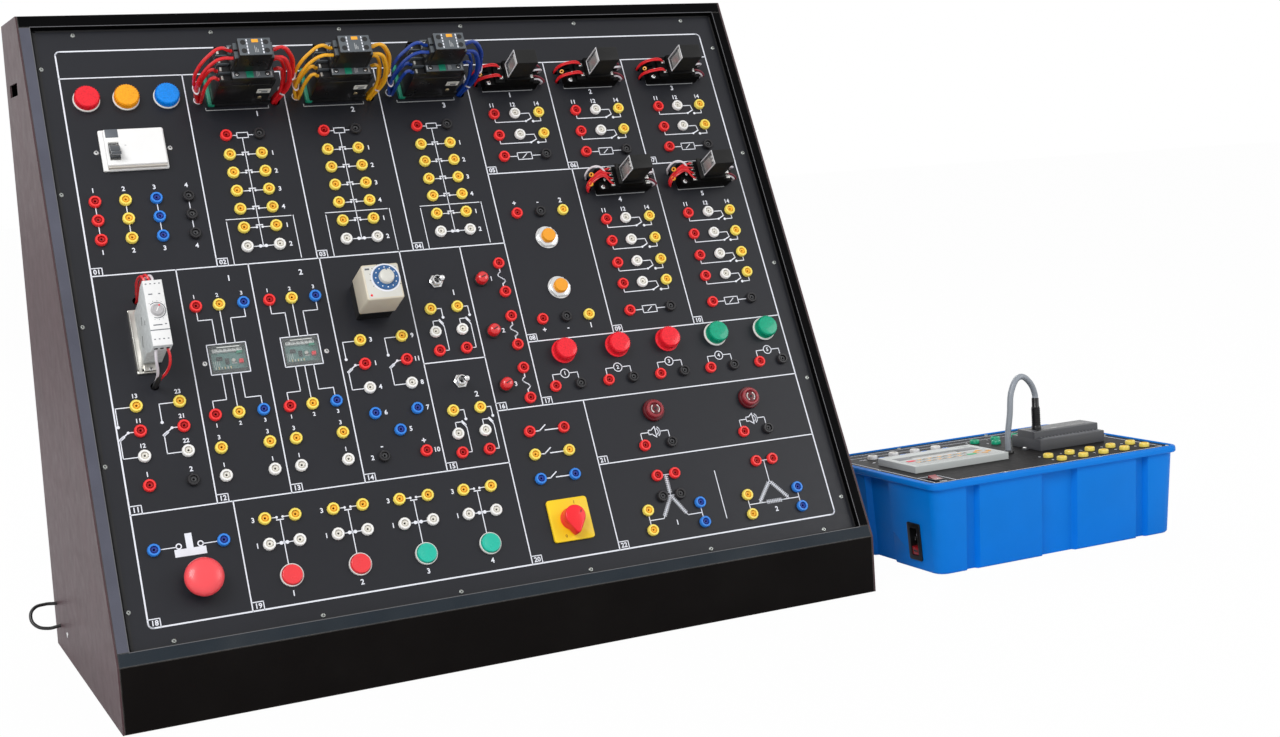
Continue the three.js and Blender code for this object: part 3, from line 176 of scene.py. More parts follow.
scene.view_settings.view_transform = "Standard"
camera()
world_light(0.42)
studio_floor()
soft_light("key", (-2.6, -2.4, 3.0), (0, 0, 0.35), (2.4, 1.8), 106)
soft_light("fill", (2.6, -2.2, 1.7), (0.1, 0, 0.3), (2.0, 1.6), 28)
soft_light("back", (0.4, 2.6, 2.6), (0, 0, 0.3), (2.6, 1.4), 46)


# Shader groups shared by the finishes
def new_group(name, inputs, outputs):
    tree = bpy.data.node_groups.new(name, "ShaderNodeTree")
    for label, kind, value in inputs:
        socket = tree.interface.new_socket(label, in_out="INPUT", socket_type=kind)
        socket.default_value = value
    for label, kind in outputs:
        tree.interface.new_socket(label, in_out="OUTPUT", socket_type=kind)
    return tree, tree.nodes.new("NodeGroupInput"), tree.nodes.new("NodeGroupOutput")


def math_node(tree, operation, first, second):
    node = tree.nodes.new("ShaderNodeMath")
    node.operation = operation
    for socket, value in zip(node.inputs, (first, second)):
        if isinstance(value, bpy.types.NodeSocket):
            tree.links.new(value, socket)
        else:
            socket.default_value = value
    return node.outputs[0]


def noise_node(tree, scale, detail=3.0, stretch=(1, 1, 1)):
    """Noise in the piece's own metres, finer along an axis that is stretched by more than 1."""
    place = tree.nodes.new("ShaderNodeTexCoord")
    mapping = tree.nodes.new("ShaderNodeMapping")
    mapping.inputs["Scale"].default_value = stretch
    tree.links.new(place.outputs["Object"], mapping.inputs["Vector"])
    noise = tree.nodes.new("ShaderNodeTexNoise")
    noise.inputs["Detail"].default_value = detail
    tree.links.new(mapping.outputs["Vector"], noise.inputs["Vector"])
    tree.links.new(scale, noise.inputs["Scale"])
    return noise.outputs["Fac"]


def uneven_tone_group():
    """A colour whose tone drifts slowly over the surface, as paint and moulded plastic do."""
    tree, given, result = new_group(
        "uneven_tone",
        [
            ("Color", "NodeSocketColor", (0.5, 0.5, 0.5, 1)),
            ("Scale", "NodeSocketFloat", 20.0),
            ("Amount", "NodeSocketFloat", 0.1),
        ],
        [("Color", "NodeSocketColor")],
    )
    drift = math_node(tree, "SUBTRACT", noise_node(tree, given.outputs["Scale"]), 0.5)
    swing = math_node(tree, "MULTIPLY", math_node(tree, "MULTIPLY", drift, given.outputs["Amount"]), 4.0)
    gain = math_node(tree, "ADD", swing, 1.0)
    scaled = tree.nodes.new("ShaderNodeVectorMath")
    scaled.operation = "SCALE"
    tree.links.new(given.outputs["Color"], scaled.inputs[0])
    tree.links.new(gain, scaled.inputs["Scale"])
    tree.links.new(scaled.outputs["Vector"], result.inputs["Color"])
    return tree


def fine_grain_group():
    """A fine pitted height, and a roughness that varies with it."""
    tree, given, result = new_group(
        "fine_grain",
        [
            ("Scale", "NodeSocketFloat", 900.0),
            ("Roughness", "NodeSocketFloat", 0.4),
            ("Spread", "NodeSocketFloat", 0.1),
        ],
        [("Height", "NodeSocketFloat"), ("Roughness", "NodeSocketFloat")],
    )
    pits = noise_node(tree, given.outputs["Scale"], 2.0)
    coarse = noise_node(tree, math_node(tree, "MULTIPLY", given.outputs["Scale"], 0.06), 4.0)
    drift = math_node(tree, "MULTIPLY", math_node(tree, "SUBTRACT", coarse, 0.5), given.outputs["Spread"])
    level = math_node(tree, "ADD", given.outputs["Roughness"], math_node(tree, "MULTIPLY", drift, 2.0))
    tree.links.new(pits, result.inputs["Height"])
    tree.links.new(level, result.inputs["Roughness"])
    return tree


def settled_dust_group():
    """A colour with pale dust, where the surface faces up and the noise is high."""
    tree, given, result = new_group(
        "settled_dust",
        [
            ("Color", "NodeSocketColor", (0.5, 0.5, 0.5, 1)),
            ("Amount", "NodeSocketFloat", 0.1),
            ("Scale", "NodeSocketFloat", 60.0),
        ],
        [("Color", "NodeSocketColor")],
    )
    shape = tree.nodes.new("ShaderNodeNewGeometry")
    parts = tree.nodes.new("ShaderNodeSeparateXYZ")
    tree.links.new(shape.outputs["True Normal"], parts.inputs["Vector"])
    facing = math_node(tree, "MAXIMUM", parts.outputs["Z"], 0.12)
    patch = math_node(tree, "POWER", noise_node(tree, given.outputs["Scale"], 6.0), 3.0)
    mask = math_node(tree, "MULTIPLY", math_node(tree, "MULTIPLY", facing, patch), given.outputs["Amount"])
    mix = tree.nodes.new("ShaderNodeMix")
    mix.data_type = "RGBA"
    mix.inputs["B"].default_value = (0.42, 0.4, 0.37, 1)
    tree.links.new(math_node(tree, "MULTIPLY", mask, 4.0), mix.inputs["Factor"])
    tree.links.new(given.outputs["Color"], mix.inputs["A"])
    tree.links.new(mix.outputs["Result"], result.inputs["Color"])
    return tree


def worn_edges_group():
    """A colour that is made paler along convex edges, broken up by noise: partly wear, and partly a painted highlight
    on edges that are sharp in the mesh.
    """
    tree, given, result = new_group(
        "worn_and_highlight_edges",
        [
            ("Color", "NodeSocketColor", (0.5, 0.5, 0.5, 1)),
            ("Worn", "NodeSocketColor", (0.3, 0.3, 0.3, 1)),
            ("Amount", "NodeSocketFloat", 0.5),
            ("Scale", "NodeSocketFloat", 90.0),
        ],
        [("Color", "NodeSocketColor")],
    )
    rounded = tree.nodes.new("ShaderNodeBevel")
    rounded.samples = 4
    rounded.inputs["Radius"].default_value = 0.0016
    shape = tree.nodes.new("ShaderNodeNewGeometry")
    agree = tree.nodes.new("ShaderNodeVectorMath")
    agree.operation = "DOT_PRODUCT"
    tree.links.new(rounded.outputs["Normal"], agree.inputs[0])
    tree.links.new(shape.outputs["True Normal"], agree.inputs[1])
    edge = math_node(tree, "MULTIPLY", math_node(tree, "SUBTRACT", 1.0, agree.outputs["Value"]), 5.0)
    broken = math_node(tree, "MULTIPLY", noise_node(tree, given.outputs["Scale"], 5.0), given.outputs["Amount"])
    clamped = math_node(tree, "MINIMUM", math_node(tree, "MULTIPLY", edge, broken), 1.0)
    mix = tree.nodes.new("ShaderNodeMix")
    mix.data_type = "RGBA"
    tree.links.new(clamped, mix.inputs["Factor"])
    tree.links.new(given.outputs["Color"], mix.inputs["A"])
    tree.links.new(given.outputs["Worn"], mix.inputs["B"])
    tree.links.new(mix.outputs["Result"], result.inputs["Color"])
    return tree


UNEVEN_TONE = uneven_tone_group()
FINE_GRAIN = fine_grain_group()
SETTLED_DUST = settled_dust_group()
WORN_AND_HIGHLIGHT_EDGES = worn_edges_group()


# Finishes
def group_node(material, tree, **values):
    node = material.node_tree.nodes.new("ShaderNodeGroup")
    node.node_tree = tree
    for label, value in values.items():
        node.inputs[label].default_value = value
    return node


def finish(
    name,
    colour,
    roughness,
    metallic=0.0,
    tone=0.06,
    tone_scale=25.0,
    grain=900.0,
    depth=0.05,
    spread=0.08,
    coat=0.0,
    dust=0.0,
    edge_wear_and_highlight=None,
    specular=0.5,
    alpha=1.0,
):
    """A finish with uneven tone and a fine grain, with dust where asked, and with convex edges made paler, as wear and
    as a painted highlight, where asked.
    """
    made = bpy.data.materials.new(name)
    made.use_nodes = True
    nodes, links = made.node_tree.nodes, made.node_tree.links
    surface = nodes["Principled BSDF"]
    surface.inputs["Metallic"].default_value = metallic
    surface.inputs["Coat Weight"].default_value = coat
    surface.inputs["Specular IOR Level"].default_value = specular
    surface.inputs["Alpha"].default_value = alpha
    toned = group_node(made, UNEVEN_TONE, Color=(*colour, 1), Scale=tone_scale, Amount=tone)
    tint = toned.outputs["Color"]
    if edge_wear_and_highlight:
        rubbed_and_lit = group_node(made, WORN_AND_HIGHLIGHT_EDGES, Worn=(*edge_wear_and_highlight, 1), Amount=0.9)
        links.new(tint, rubbed_and_lit.inputs["Color"])
        tint = rubbed_and_lit.outputs["Color"]
    if dust:
        dusty = group_node(made, SETTLED_DUST, Amount=dust, Scale=14.0)
        links.new(tint, dusty.inputs["Color"])
        tint = dusty.outputs["Color"]
    links.new(tint, surface.inputs["Base Color"])
    grained = group_node(made, FINE_GRAIN, Scale=grain, Roughness=roughness, Spread=spread)
    links.new(grained.outputs["Roughness"], surface.inputs["Roughness"])
    bump = nodes.new("ShaderNodeBump")
    bump.inputs["Strength"].default_value = min(1.0, depth * 6)
    bump.inputs["Distance"].default_value = depth * METRE
    links.new(grained.outputs["Height"], bump.inputs["Height"])
    links.new(bump.outputs["Normal"], surface.inputs["Normal"])
    return made


def moulded(name, colour, roughness=0.38, **more):
    """Moulded plastic: a soft gloss with faint flow marks."""
    return finish(name, colour, roughness, **{"depth": 0.02, "grain": 1400.0, "coat": 0.1, **more})


def plated(name, colour, roughness=0.22, **more):
    """Plated or bare metal."""
    return finish(name, colour, roughness, **{"metallic": 1.0, "depth": 0.015, "grain": 2200.0, "tone": 0.1, **more})


# The black paints' convex edges are made paler, partly as wear and partly as a painted highlight.
PAINT = {"tone": 0.12, "edge_wear_and_highlight": (0.12, 0.115, 0.11)}
case_paint = finish(
    "case_paint", (0.0035, 0.0026, 0.0024), 0.46, depth=0.12, grain=1100.0, dust=0.03, specular=0.06, **PAINT
)
# The side panels are the case's black paint lightened to a brown-grey, as a painted sheen.
side_painted_sheen = finish(
    "side_painted_sheen", (0.065, 0.03, 0.036), 0.42, depth=0.12, grain=1100.0, dust=0.05, specular=0.18, **PAINT
)
# The three rail finishes are one black rail paint made darker or lighter per rail as painted light and shade: darkest
# on the top and right rails, lighter and bluer on the bottom rail, and lightest on the left rail as a painted sheen.
rail_paint = finish("rail_paint", (0.0015, 0.0015, 0.0018), 0.5, depth=0.16, dust=0.0, specular=0.03, **PAINT)
left_rail_painted_sheen = finish("left_rail_painted_sheen", (0.085, 0.088, 0.118), 0.44, depth=0.16, dust=0.04, specular=0.2, **PAINT)
bottom_rail_painted_light = finish("bottom_rail_painted_light", (0.011, 0.018, 0.026), 0.5, depth=0.2, dust=0.06, specular=0.15, **PAINT)
panel_black = finish(
    "panel_black", (0.0092, 0.01, 0.0142), 0.4, depth=0.03, grain=2600.0, tone=0.14, tone_scale=7.0, specular=0.3
)
print_white = finish("print_white", (0.84, 0.86, 0.93), 0.5, depth=0.01, tone=0.05, tone_scale=90.0)
print_dim = finish("print_dim", (0.42, 0.43, 0.44), 0.5, depth=0.01, tone=0.08, tone_scale=90.0)
# A flat black for black parts, and as painted shade for holes, cavities and gaps drawn as dark discs, blocks and
# lines.
black_and_painted_hole_shade = finish("black_and_painted_hole_shade", (0.006, 0.006, 0.007), 0.7, depth=0.02)
# Each socket's sleeve finish is its body colour darkened as painted shade in the well; the black sockets' sleeve is
# lighter instead, as a painted highlight on the ring.
socket_shades = {
    "r": ("red", moulded("socket_red", (0.97, 0.035, 0.035)), moulded("socket_red_well_painted_shade", (0.45, 0.002, 0.004), 0.5, specular=0.3)),
    "y": ("yellow", moulded("socket_yellow", (1.0, 0.79, 0.13)), moulded("socket_amber_well_painted_shade", (0.93, 0.5, 0.03), 0.5)),
    "b": ("blue", moulded("socket_blue", (0.03, 0.24, 0.8)), moulded("socket_blue_well_painted_shade", (0.002, 0.03, 0.28), 0.5)),
    "w": ("white", moulded("socket_white", (0.95, 0.94, 0.92)), moulded("socket_white_well_painted_shade", (0.8, 0.77, 0.7), 0.5)),
    "k": ("black", moulded("socket_black", (0.017, 0.016, 0.018), specular=0.35), moulded("socket_black_well_painted_highlight", (0.03, 0.03, 0.033), 0.5)),
    "g": ("green", moulded("socket_green", (0.0, 0.42, 0.22)), moulded("socket_green_well_painted_shade", (0.0, 0.2, 0.1), 0.5)),
}
plated_metal = plated("plated_metal", (0.72, 0.72, 0.72))
# A grey for a painted highlight along the rails' inner top edge.
rail_edge_painted_highlight = finish("rail_edge_painted_highlight", (0.11, 0.11, 0.12), 0.4)
dark_screw = plated("dark_screw", (0.42, 0.44, 0.42), 0.4)
# A dark grey for printed and moulded marks, and as painted shade in screw recesses, slots and grooves drawn as thin
# dark bars.
dark_marks_and_recess_shade = finish("dark_marks_and_recess_shade", (0.02, 0.02, 0.02), 0.6)


# Shapes: each starts on z 0 of the frame that it is added to
CORNER_STEPS = 4


def round_over(shape, edges, offset, segments=2):
    bmesh.ops.bevel(
        shape,
        geom=edges,
        offset=offset,
        offset_type="OFFSET",
        affect="EDGES",
        segments=segments,
        profile=0.5,
        material=-1,
        clamp_overlap=True,
    )


def flat_at(shape, z):
    """The edges that lie flat at that height."""
    return [e for e in shape.edges if all(abs(v.co.z - z) < 1e-4 for v in e.verts)]


def slab(width, depth, height, edge=0.0, corner=0.0, rounds=2, foot=False):
    """A block, its upright corners rounded by corner, and its top edges, and its foot's where asked, by edge."""
    shape = bmesh.new()
    bmesh.ops.create_cube(shape, size=1)
    bmesh.ops.scale(shape, vec=(width, depth, height), verts=shape.verts)
    bmesh.ops.translate(shape, vec=(0, 0, height / 2), verts=shape.verts)
    if corner:
        upright = [e for e in shape.edges if abs(e.verts[0].co.z - e.verts[1].co.z) > height / 2]
        round_over(shape, upright, corner, CORNER_STEPS)
    if edge:
        rims = flat_at(shape, height) + (flat_at(shape, 0) if foot else [])
        round_over(shape, rims, edge, rounds)
    return shape


def spun(profile, sides=24):
    """A closed turned shape from its half outline: pairs of a radius and a height."""
    shape = bmesh.new()
    points = [shape.verts.new((radius, 0, height)) for radius, height in profile]
    edges = [shape.edges.new(pair) for pair in zip(points, points[1:])]
    if profile[0][0] > 0 and profile[-1][0] > 0:
        edges.append(shape.edges.new((points[-1], points[0])))
    bmesh.ops.spin(
        shape,
        geom=points + edges,
        cent=(0, 0, 0),
        axis=(0, 0, 1),
        angle=math.tau,
        steps=sides,
        use_merge=True,
    )
    bmesh.ops.remove_doubles(shape, verts=shape.verts, dist=0.001)
    return shape


def prism(outline, height):
    """A flat outline raised to a height."""
    shape = bmesh.new()
    base = shape.faces.new([shape.verts.new((x, y, 0)) for x, y in outline])
    raised = bmesh.ops.extrude_face_region(shape, geom=[base])["geom"]
    bmesh.ops.translate(shape, vec=(0, 0, height), verts=[g for g in raised if isinstance(g, bmesh.types.BMVert)])
    return shape


def ball(radius, height, sides=16, rings=8):
    """A flattened ball, its middle on z 0."""
    shape = bmesh.new()
    bmesh.ops.create_uvsphere(shape, u_segments=sides, v_segments=rings, radius=1)
    bmesh.ops.scale(shape, vec=(radius, radius, height), verts=shape.verts)
    return shape


def lead(points, radius, rings=2):
    """A smooth round lead through the points, closed at both ends."""
    curve = bpy.data.curves.new("lead", "CURVE")
    curve.dimensions = "3D"
    curve.bevel_depth = radius
    curve.bevel_resolution = rings
    curve.resolution_u = 5
    curve.use_fill_caps = True
    route = curve.splines.new("BEZIER")
    route.bezier_points.add(len(points) - 1)
    for knot, point in zip(route.bezier_points, points):
        knot.co = point
        knot.handle_left_type = knot.handle_right_type = "AUTO"
    return from_curve(curve)


def from_curve(curve):
    carrier = bpy.data.objects.new("carrier", curve)
    mesh = bpy.data.meshes.new_from_object(carrier)
    shape = bmesh.new()
    shape.from_mesh(mesh)
    bmesh.ops.remove_doubles(shape, verts=shape.verts, dist=0.0005)
    bpy.data.objects.remove(carrier)
    bpy.data.curves.remove(curve)
    bpy.data.meshes.remove(mesh)
    return shape


numerals = {}


def numeral(text, size, depth):
    """Plain figures as a raised shape about z 0, centred."""
    if (text, size) not in numerals:
        curve = bpy.data.curves.new("numeral", "FONT")
        curve.body = text
        curve.size = size * 1.38
        curve.align_x = "CENTER"
        curve.align_y = "CENTER"
        curve.extrude = depth / 2
        curve.offset = size * 0.035
        curve.resolution_u = 2
        numerals[text, size] = from_curve(curve)
    return numerals[text, size]


class Work:
    """A piece in the making: shapes go in one by one, each at its place and with its finish."""

    def __init__(self, place):
        self.place = place
        self.mesh = bmesh.new()
        self.finishes = []

    def add(self, shape, look, x=0.0, y=0.0, z=0.0, turn=None):
        if look not in self.finishes:
            self.finishes.append(look)
        part = bpy.data.meshes.new("part")
        shape.to_mesh(part)
        spot_matrix = Matrix.Translation((x, y, z))
        part.transform(spot_matrix @ turn if turn else spot_matrix)
        part.polygons.foreach_set("material_index", [self.finishes.index(look)] * len(part.polygons))
        self.mesh.from_mesh(part)
        bpy.data.meshes.remove(part)
        return self

    def done(self, name, body="console", replaces=(), crease=38):
        bmesh.ops.recalc_face_normals(self.mesh, faces=self.mesh.faces)
        self.mesh.transform(self.place)
        mesh = bpy.data.meshes.new(name)
        self.mesh.to_mesh(mesh)
        self.mesh.free()
        for look in self.finishes:
            mesh.materials.append(look)
        mesh.shade_smooth()
        mesh.set_sharp_from_angle(angle=math.radians(crease))
        piece = bpy.data.objects.new(name, mesh)
        scene.collection.objects.link(piece)
        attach(piece, body)
        if replaces:
            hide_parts(*replaces)
        return piece


class Moved:
    """A work whose shapes are moved by a distance, for print on a raised face."""

    def __init__(self, work, x=0.0, y=0.0, z=0.0):
        self.work = work
        self.by = (x, y, z)

    def add(self, shape, look, x=0.0, y=0.0, z=0.0, turn=None):
        self.work.add(shape, look, x + self.by[0], y + self.by[1], z + self.by[2], turn)


def turned_z(degrees):
    return Matrix.Rotation(math.radians(degrees), 4, "Z")


def turned_x(degrees):
    return Matrix.Rotation(math.radians(degrees), 4, "X")


def turned_y(degrees):
    return Matrix.Rotation(math.radians(degrees), 4, "Y")


# Printed lines, symbols and plain numbers on the sloping panel
INK = 0.12
LINE = 1.3
FINE_LINE = 1.0
SOCKET = 7
art = Work(FACE)


def stroke(*points, width=FINE_LINE, ink=None, work=None):
    """A printed line through the points."""
    target = work or art
    for (x0, y0), (x1, y1) in zip(points, points[1:]):
        length = math.hypot(x1 - x0, y1 - y0)
        lean = math.degrees(math.atan2(y1 - y0, x1 - x0))
        bar = slab(length + width, width, INK)
        target.add(bar, ink or print_white, (x0 + x1) / 2, (y0 + y1) / 2, turn=turned_z(lean))


def dot(x, y, radius=1.7):
    art.add(spun([(0, 0), (radius, 0), (radius, INK * 1.2), (0, INK * 1.2)], 10), print_white, x, y)


def ring(x, y, radius, width=FINE_LINE, work=None, ink=None):
    inner, outer = radius - width / 2, radius + width / 2
    shape = spun([(inner, 0), (outer, 0), (outer, INK), (inner, INK)], 24)
    (work or art).add(shape, ink or print_white, x, y)


def frame_line(x0, y0, x1, y1, width=FINE_LINE, work=None, ink=None):
    stroke((x0, y0), (x1, y0), (x1, y1), (x0, y1), (x0, y0), width=width, work=work, ink=ink)


def number(text, x, y, size=5.4, work=None):
    (work or art).add(numeral(text, size, INK), print_white, x, y, INK / 2)


def arc(x, y, radius, start, end, steps=6):
    return [
        (x + radius * math.cos(math.radians(a)), y + radius * math.sin(math.radians(a)))
        for a in (start + (end - start) * n / steps for n in range(steps + 1))
    ]


# Sockets, gathered by colour while the blocks are laid out
socket_places = {shade: [] for shade in socket_shades}


def across(us, vs, shades):
    """Sockets whose colour changes from column to column."""
    for v in vs:
        for u, shade in zip(us, shades):
            socket_places[shade].append(spot(u, v))


def down(us, vs, shades):
    """Sockets whose colour changes from row to row."""
    for v, shade in zip(vs, shades):
        for u in us:
            socket_places[shade].append(spot(u, v))


def level_line(v, u0, u1):
    stroke(spot(u0, v), spot(u1, v), width=LINE)


def upright_line(u, v0, v1):
    stroke(spot(u, v0), spot(u, v1), width=LINE)


BOX_WIDTH = 12
BOX_HEIGHT = 9


def block_number(text, u, v):
    """The small numbered box in a block's bottom left corner."""
    x, y = spot(u, v)
    stroke((x, y + BOX_HEIGHT), (x + BOX_WIDTH, y + BOX_HEIGHT), (x + BOX_WIDTH, y), width=FINE_LINE)
    number(text, x + BOX_WIDTH / 2 + 0.5, y + BOX_HEIGHT / 2, 5.6)


def panel_grid():
    corner = 5
    right, top = FIELD_WIDTH, FIELD_HEIGHT
    border = [
        *arc(corner, corner, corner, 180, 270),
        *arc(right - corner, corner, corner, 270, 360),
        *arc(right - corner, top - corner, corner, 0, 90),
        *arc(corner, top - corner, corner, 90, 180),
    ]
    stroke(*border, border[0], width=LINE * 1.25)
    level_line(0.0516, 0, 1)
    for u in (0.166, 0.305, 0.445):
        upright_line(u, 0.0516, 0.414)
    upright_line(0.584, 0.0516, 0.725)
    for u in (0.7156, 0.8488):
        upright_line(u, 0.0516, 0.2766)
    for u in (0.72, 0.8538):
        upright_line(u, 0.2766, 0.6062)
    level_line(0.414, 0, 0.584)
    level_line(0.2766, 0.584, 1)
    level_line(0.6062, 0.584, 1)
    level_line(0.725, 0.5145, 1)
    for u in (0.11, 0.2075, 0.3075, 0.4237):
        upright_line(u, 0.414, 0.8188)
    upright_line(0.5145, 0.414, 1)
    level_line(0.625, 0.4237, 0.5145)
    level_line(0.8188, 0, 0.5145)
    upright_line(0.13, 0.8188, 1)
    upright_line(0.6463, 0.725, 1)
    level_line(0.8453, 0.6463, 1)
    stroke(spot(0.8225, 0.887), spot(0.8225, 0.975), width=FINE_LINE)
    for text, u, v in (
        ("01", 0, 0.414), ("02", 0.166, 0.414), ("03", 0.305, 0.414), ("04", 0.445, 0.414),
        ("05", 0.584, 0.2766), ("06", 0.7156, 0.2766), ("07", 0.8488, 0.2766), ("08", 0.584, 0.6062),
        ("09", 0.72, 0.6062), ("10", 0.8538, 0.6062), ("11", 0, 0.8188), ("12", 0.11, 0.8188),
        ("13", 0.2075, 0.8188), ("14", 0.3075, 0.8188), ("15", 0.4237, 0.8188), ("16", 0.5145, 0.725),
        ("17", 0.584, 0.725), ("18", 0, 1), ("19", 0.13, 1), ("20", 0.5145, 1), ("21", 0.6463, 0.8453),
        ("22", 0.6463, 1),
    ):
        block_number(text, u, v)


def power_block():
    columns, rows = (0.02, 0.06, 0.101, 0.144), (0.283, 0.317, 0.352)
    across(columns, rows, "rybk")
    for text, u in zip("1234", columns):
        x, high = spot(u, rows[0])
        low = spot(u, rows[-1])[1]
        stroke((x, high), (x, low))
        number(text, x, high + SOCKET * 2)
        number(text, x, low - SOCKET * 2)


def open_pair(left, right, y, bar=2.6):
    """A contact that is open: two stubs with a bar off them."""
    middle = (left + right) / 2
    stroke((left + SOCKET, y), (middle - 3.4, y))
    stroke((middle + 3.4, y), (right - SOCKET, y))
    dot(middle - 3.2, y, 1.4)
    dot(middle + 3.2, y, 1.4)
    stroke((middle - 3.4, y + bar), (middle + 3.4, y + bar), width=LINE)


def closed_pair(left, right, y):
    """A contact that is closed: its bar lies on both stubs."""
    middle = (left + right) / 2
    stroke((left + SOCKET, y), (right - SOCKET, y))
    dot(middle - 3.2, y, 2)
    dot(middle + 3.2, y, 2)
    stroke((middle - 3.4, y), (middle + 3.4, y), width=2.4)


def coil_pair(left, right, y, width=12.5, height=6.5):
    """A coil's box between its two sockets."""
    middle = (left + right) / 2
    stroke((left + SOCKET, y), (middle - width / 2, y))
    stroke((middle + width / 2, y), (right - SOCKET, y))
    frame_line(middle - width / 2, y - height / 2, middle + width / 2, y + height / 2)


def dashed(points, dash=2.6, pitch=3.5):
    for (x0, y0), (x1, y1) in zip(points, points[1:]):
        length = math.hypot(x1 - x0, y1 - y0)
        step_x, step_y = (x1 - x0) / length, (y1 - y0) / length
        for n in range(int(length / pitch)):
            start, end = n * pitch, n * pitch + dash
            stroke((x0 + step_x * start, y0 + step_y * start), (x0 + step_x * end, y0 + step_y * end), width=0.9)


CONTACTOR_PITCH = 0.14


def contactor_block(n):
    shift = n * CONTACTOR_PITCH
    rows = (0.21, 0.2445, 0.279, 0.313, 0.348, 0.383)
    across((0.211 + shift, 0.2575 + shift), (0.173,), "rk")
    down((0.211 + shift, 0.256 + shift), rows, "yyyyyw")
    left, coil = spot(0.211 + shift, 0.173)
    right = spot(0.256 + shift, 0.173)[0]
    middle = (left + right) / 2
    coil_pair(left, right + 1.2, coil)
    last = spot(0, rows[-1])[1]
    stroke((middle, coil - 3.3), (middle, last), width=0.9)
    for text, v in zip("123412", rows):
        y = spot(0, v)[1]
        number(text, right + 12.8, y)
        if v == rows[-1]:
            closed_pair(left, right, y)
        else:
            open_pair(left, right, y)
    low = spot(0, 0.414)[1]
    high = spot(0, 0.3305)[1]
    dashed([(left - 17.5, low), (left - 17.5, high), (right + 21.5, high), (right + 21.5, low)])
    number(str(n + 1), middle + 22, spot(0, 0.133)[1], 6.5)


def relay_changeover(us, v):
    """Common, closed and open sockets in a row, with the switch drawn between them."""
    across(us, (v,), "rwy")
    (common, y), closed, opened = spot(us[0], v), spot(us[1], v)[0], spot(us[2], v)[0]
    pole = closed + 12.6
    meet = closed + 20.5
    stroke((common, y - SOCKET), (common, y - 10.6), (pole, y - 10.6))
    dot(pole, y - 10.6, 1.4)
    stroke((pole, y - 10.6), (meet, y - 6.6), width=LINE)
    stroke((meet, y - 6.6), (meet - 1.5, y), (closed + SOCKET, y))
    dot(opened - 9.3, y - 11.2)
    stroke((opened - 9.3, y - 11.2), (opened + 1, y - 11.2), (opened + 1, y - SOCKET))


def relay_block(us, rows, coil_us, coil_v, text, title_v):
    for v in rows:
        relay_changeover(us, v)
    for label, u in zip(("11", "12", "14"), us):
        x, y = spot(u, rows[0])
        number(label, x, y + SOCKET * 1.75)
    across(coil_us, (coil_v,), "rk")
    (left, y), (right, _) = spot(coil_us[0], coil_v), spot(coil_us[1], coil_v)
    coil_pair(left, right, y, 18, 9)
    stroke(((left + right) / 2 - 3, y - 2.6), ((left + right) / 2 + 3, y + 2.6), width=0.9)
    number(text, spot(us[1], title_v)[0], spot(0, title_v)[1], 6.2)


def relay_bracket(u, v):
    """The line printed under a relay's socket, with its ends turned up."""
    x, y = spot(u, v)
    low = y - 15
    stroke((x - 34.5, low + 6), (x - 34.5, low), (x + 29.5, low), (x + 29.5, low + 2.5), width=0.9, ink=print_dim)


def sensor_block():
    across((0.614, 0.651, 0.6875), (0.3586, 0.5664), "rky")
    for v in (0.3586, 0.5664):
        for sign, u in (("+", 0.614), ("-", 0.651), ("2" if v < 0.5 else "1", 0.6875)):
            x, y = spot(u, v)
            number(sign, x, y + SOCKET * 1.9 * (-1 if v > 0.5 else 1), 6.2)


def left_changeover(u, vs, reach, labels):
    """Open, common and closed sockets in a column, with the switch drawn at their left."""
    x, high = spot(u, vs[0])
    middle, low = spot(u, vs[1])[1], spot(u, vs[2])[1]
    stroke((x - SOCKET, high), (x - reach, high), (x - reach, high - 20))
    dot(x - reach, high - 20.4)
    stroke((x - SOCKET, middle), (x - reach + 9, middle))
    dot(x - reach + 9, middle, 1.5)
    stroke((x - reach + 9, middle), (x - reach, middle - 7), width=LINE)
    stroke((x - reach + 3.5, middle - 4.4), (x - reach, middle - 7), width=2.8)
    stroke((x - reach, middle - 7), (x - reach, low), (x - SOCKET, low))
    for text, y in zip(labels, (high, middle, low)):
        number(text, x + 12.5, y)


def timer_block():
    rows = (0.643, 0.685, 0.727, 0.776)
    down((0.029, 0.0845), rows[:3], "yrw")
    across((0.029, 0.0845), rows[3:], "rk")
    for n, u in enumerate((0.029, 0.0845)):
        left_changeover(u, rows, 21, ("", "", ""))
        for text, v in zip("312"[:3], rows):
            x, y = spot(u, v)
            number(f"{n + 1}{text}", x, y + SOCKET * 1.65, 4.8)
        x, y = spot(u, rows[3])
        number(str(n + 1), x, y + SOCKET * 1.75)


def flicker_block():
    rows = (0.571, 0.614, 0.657, 0.703, 0.779)
    down((0.34, 0.4), rows[:4], "yrwb")
    across((0.34, 0.4), rows[4:], "kr")
    down((0.37,), (0.737,), "b")
    left_changeover(0.34, rows, 19.5, ("3", "1", "4"))
    left_changeover(0.4, rows, 19.5, ("9", "11", "8"))
    for text, u, v in (("6", 0.34, 0.703), ("7", 0.4, 0.703), ("5", 0.37, 0.737), ("10", 0.4, 0.779)):
        x, y = spot(u, v)
        number(text, x + 12.5, y)
    x, y = spot(0.34, 0.779)
    number("2", x - 12.5, y)
    number("-", x, y + 12, 7)
    number("+", spot(0.4, 0)[0], y + 12, 7)


OVERLOAD_WINDOW = (40.5, 33)


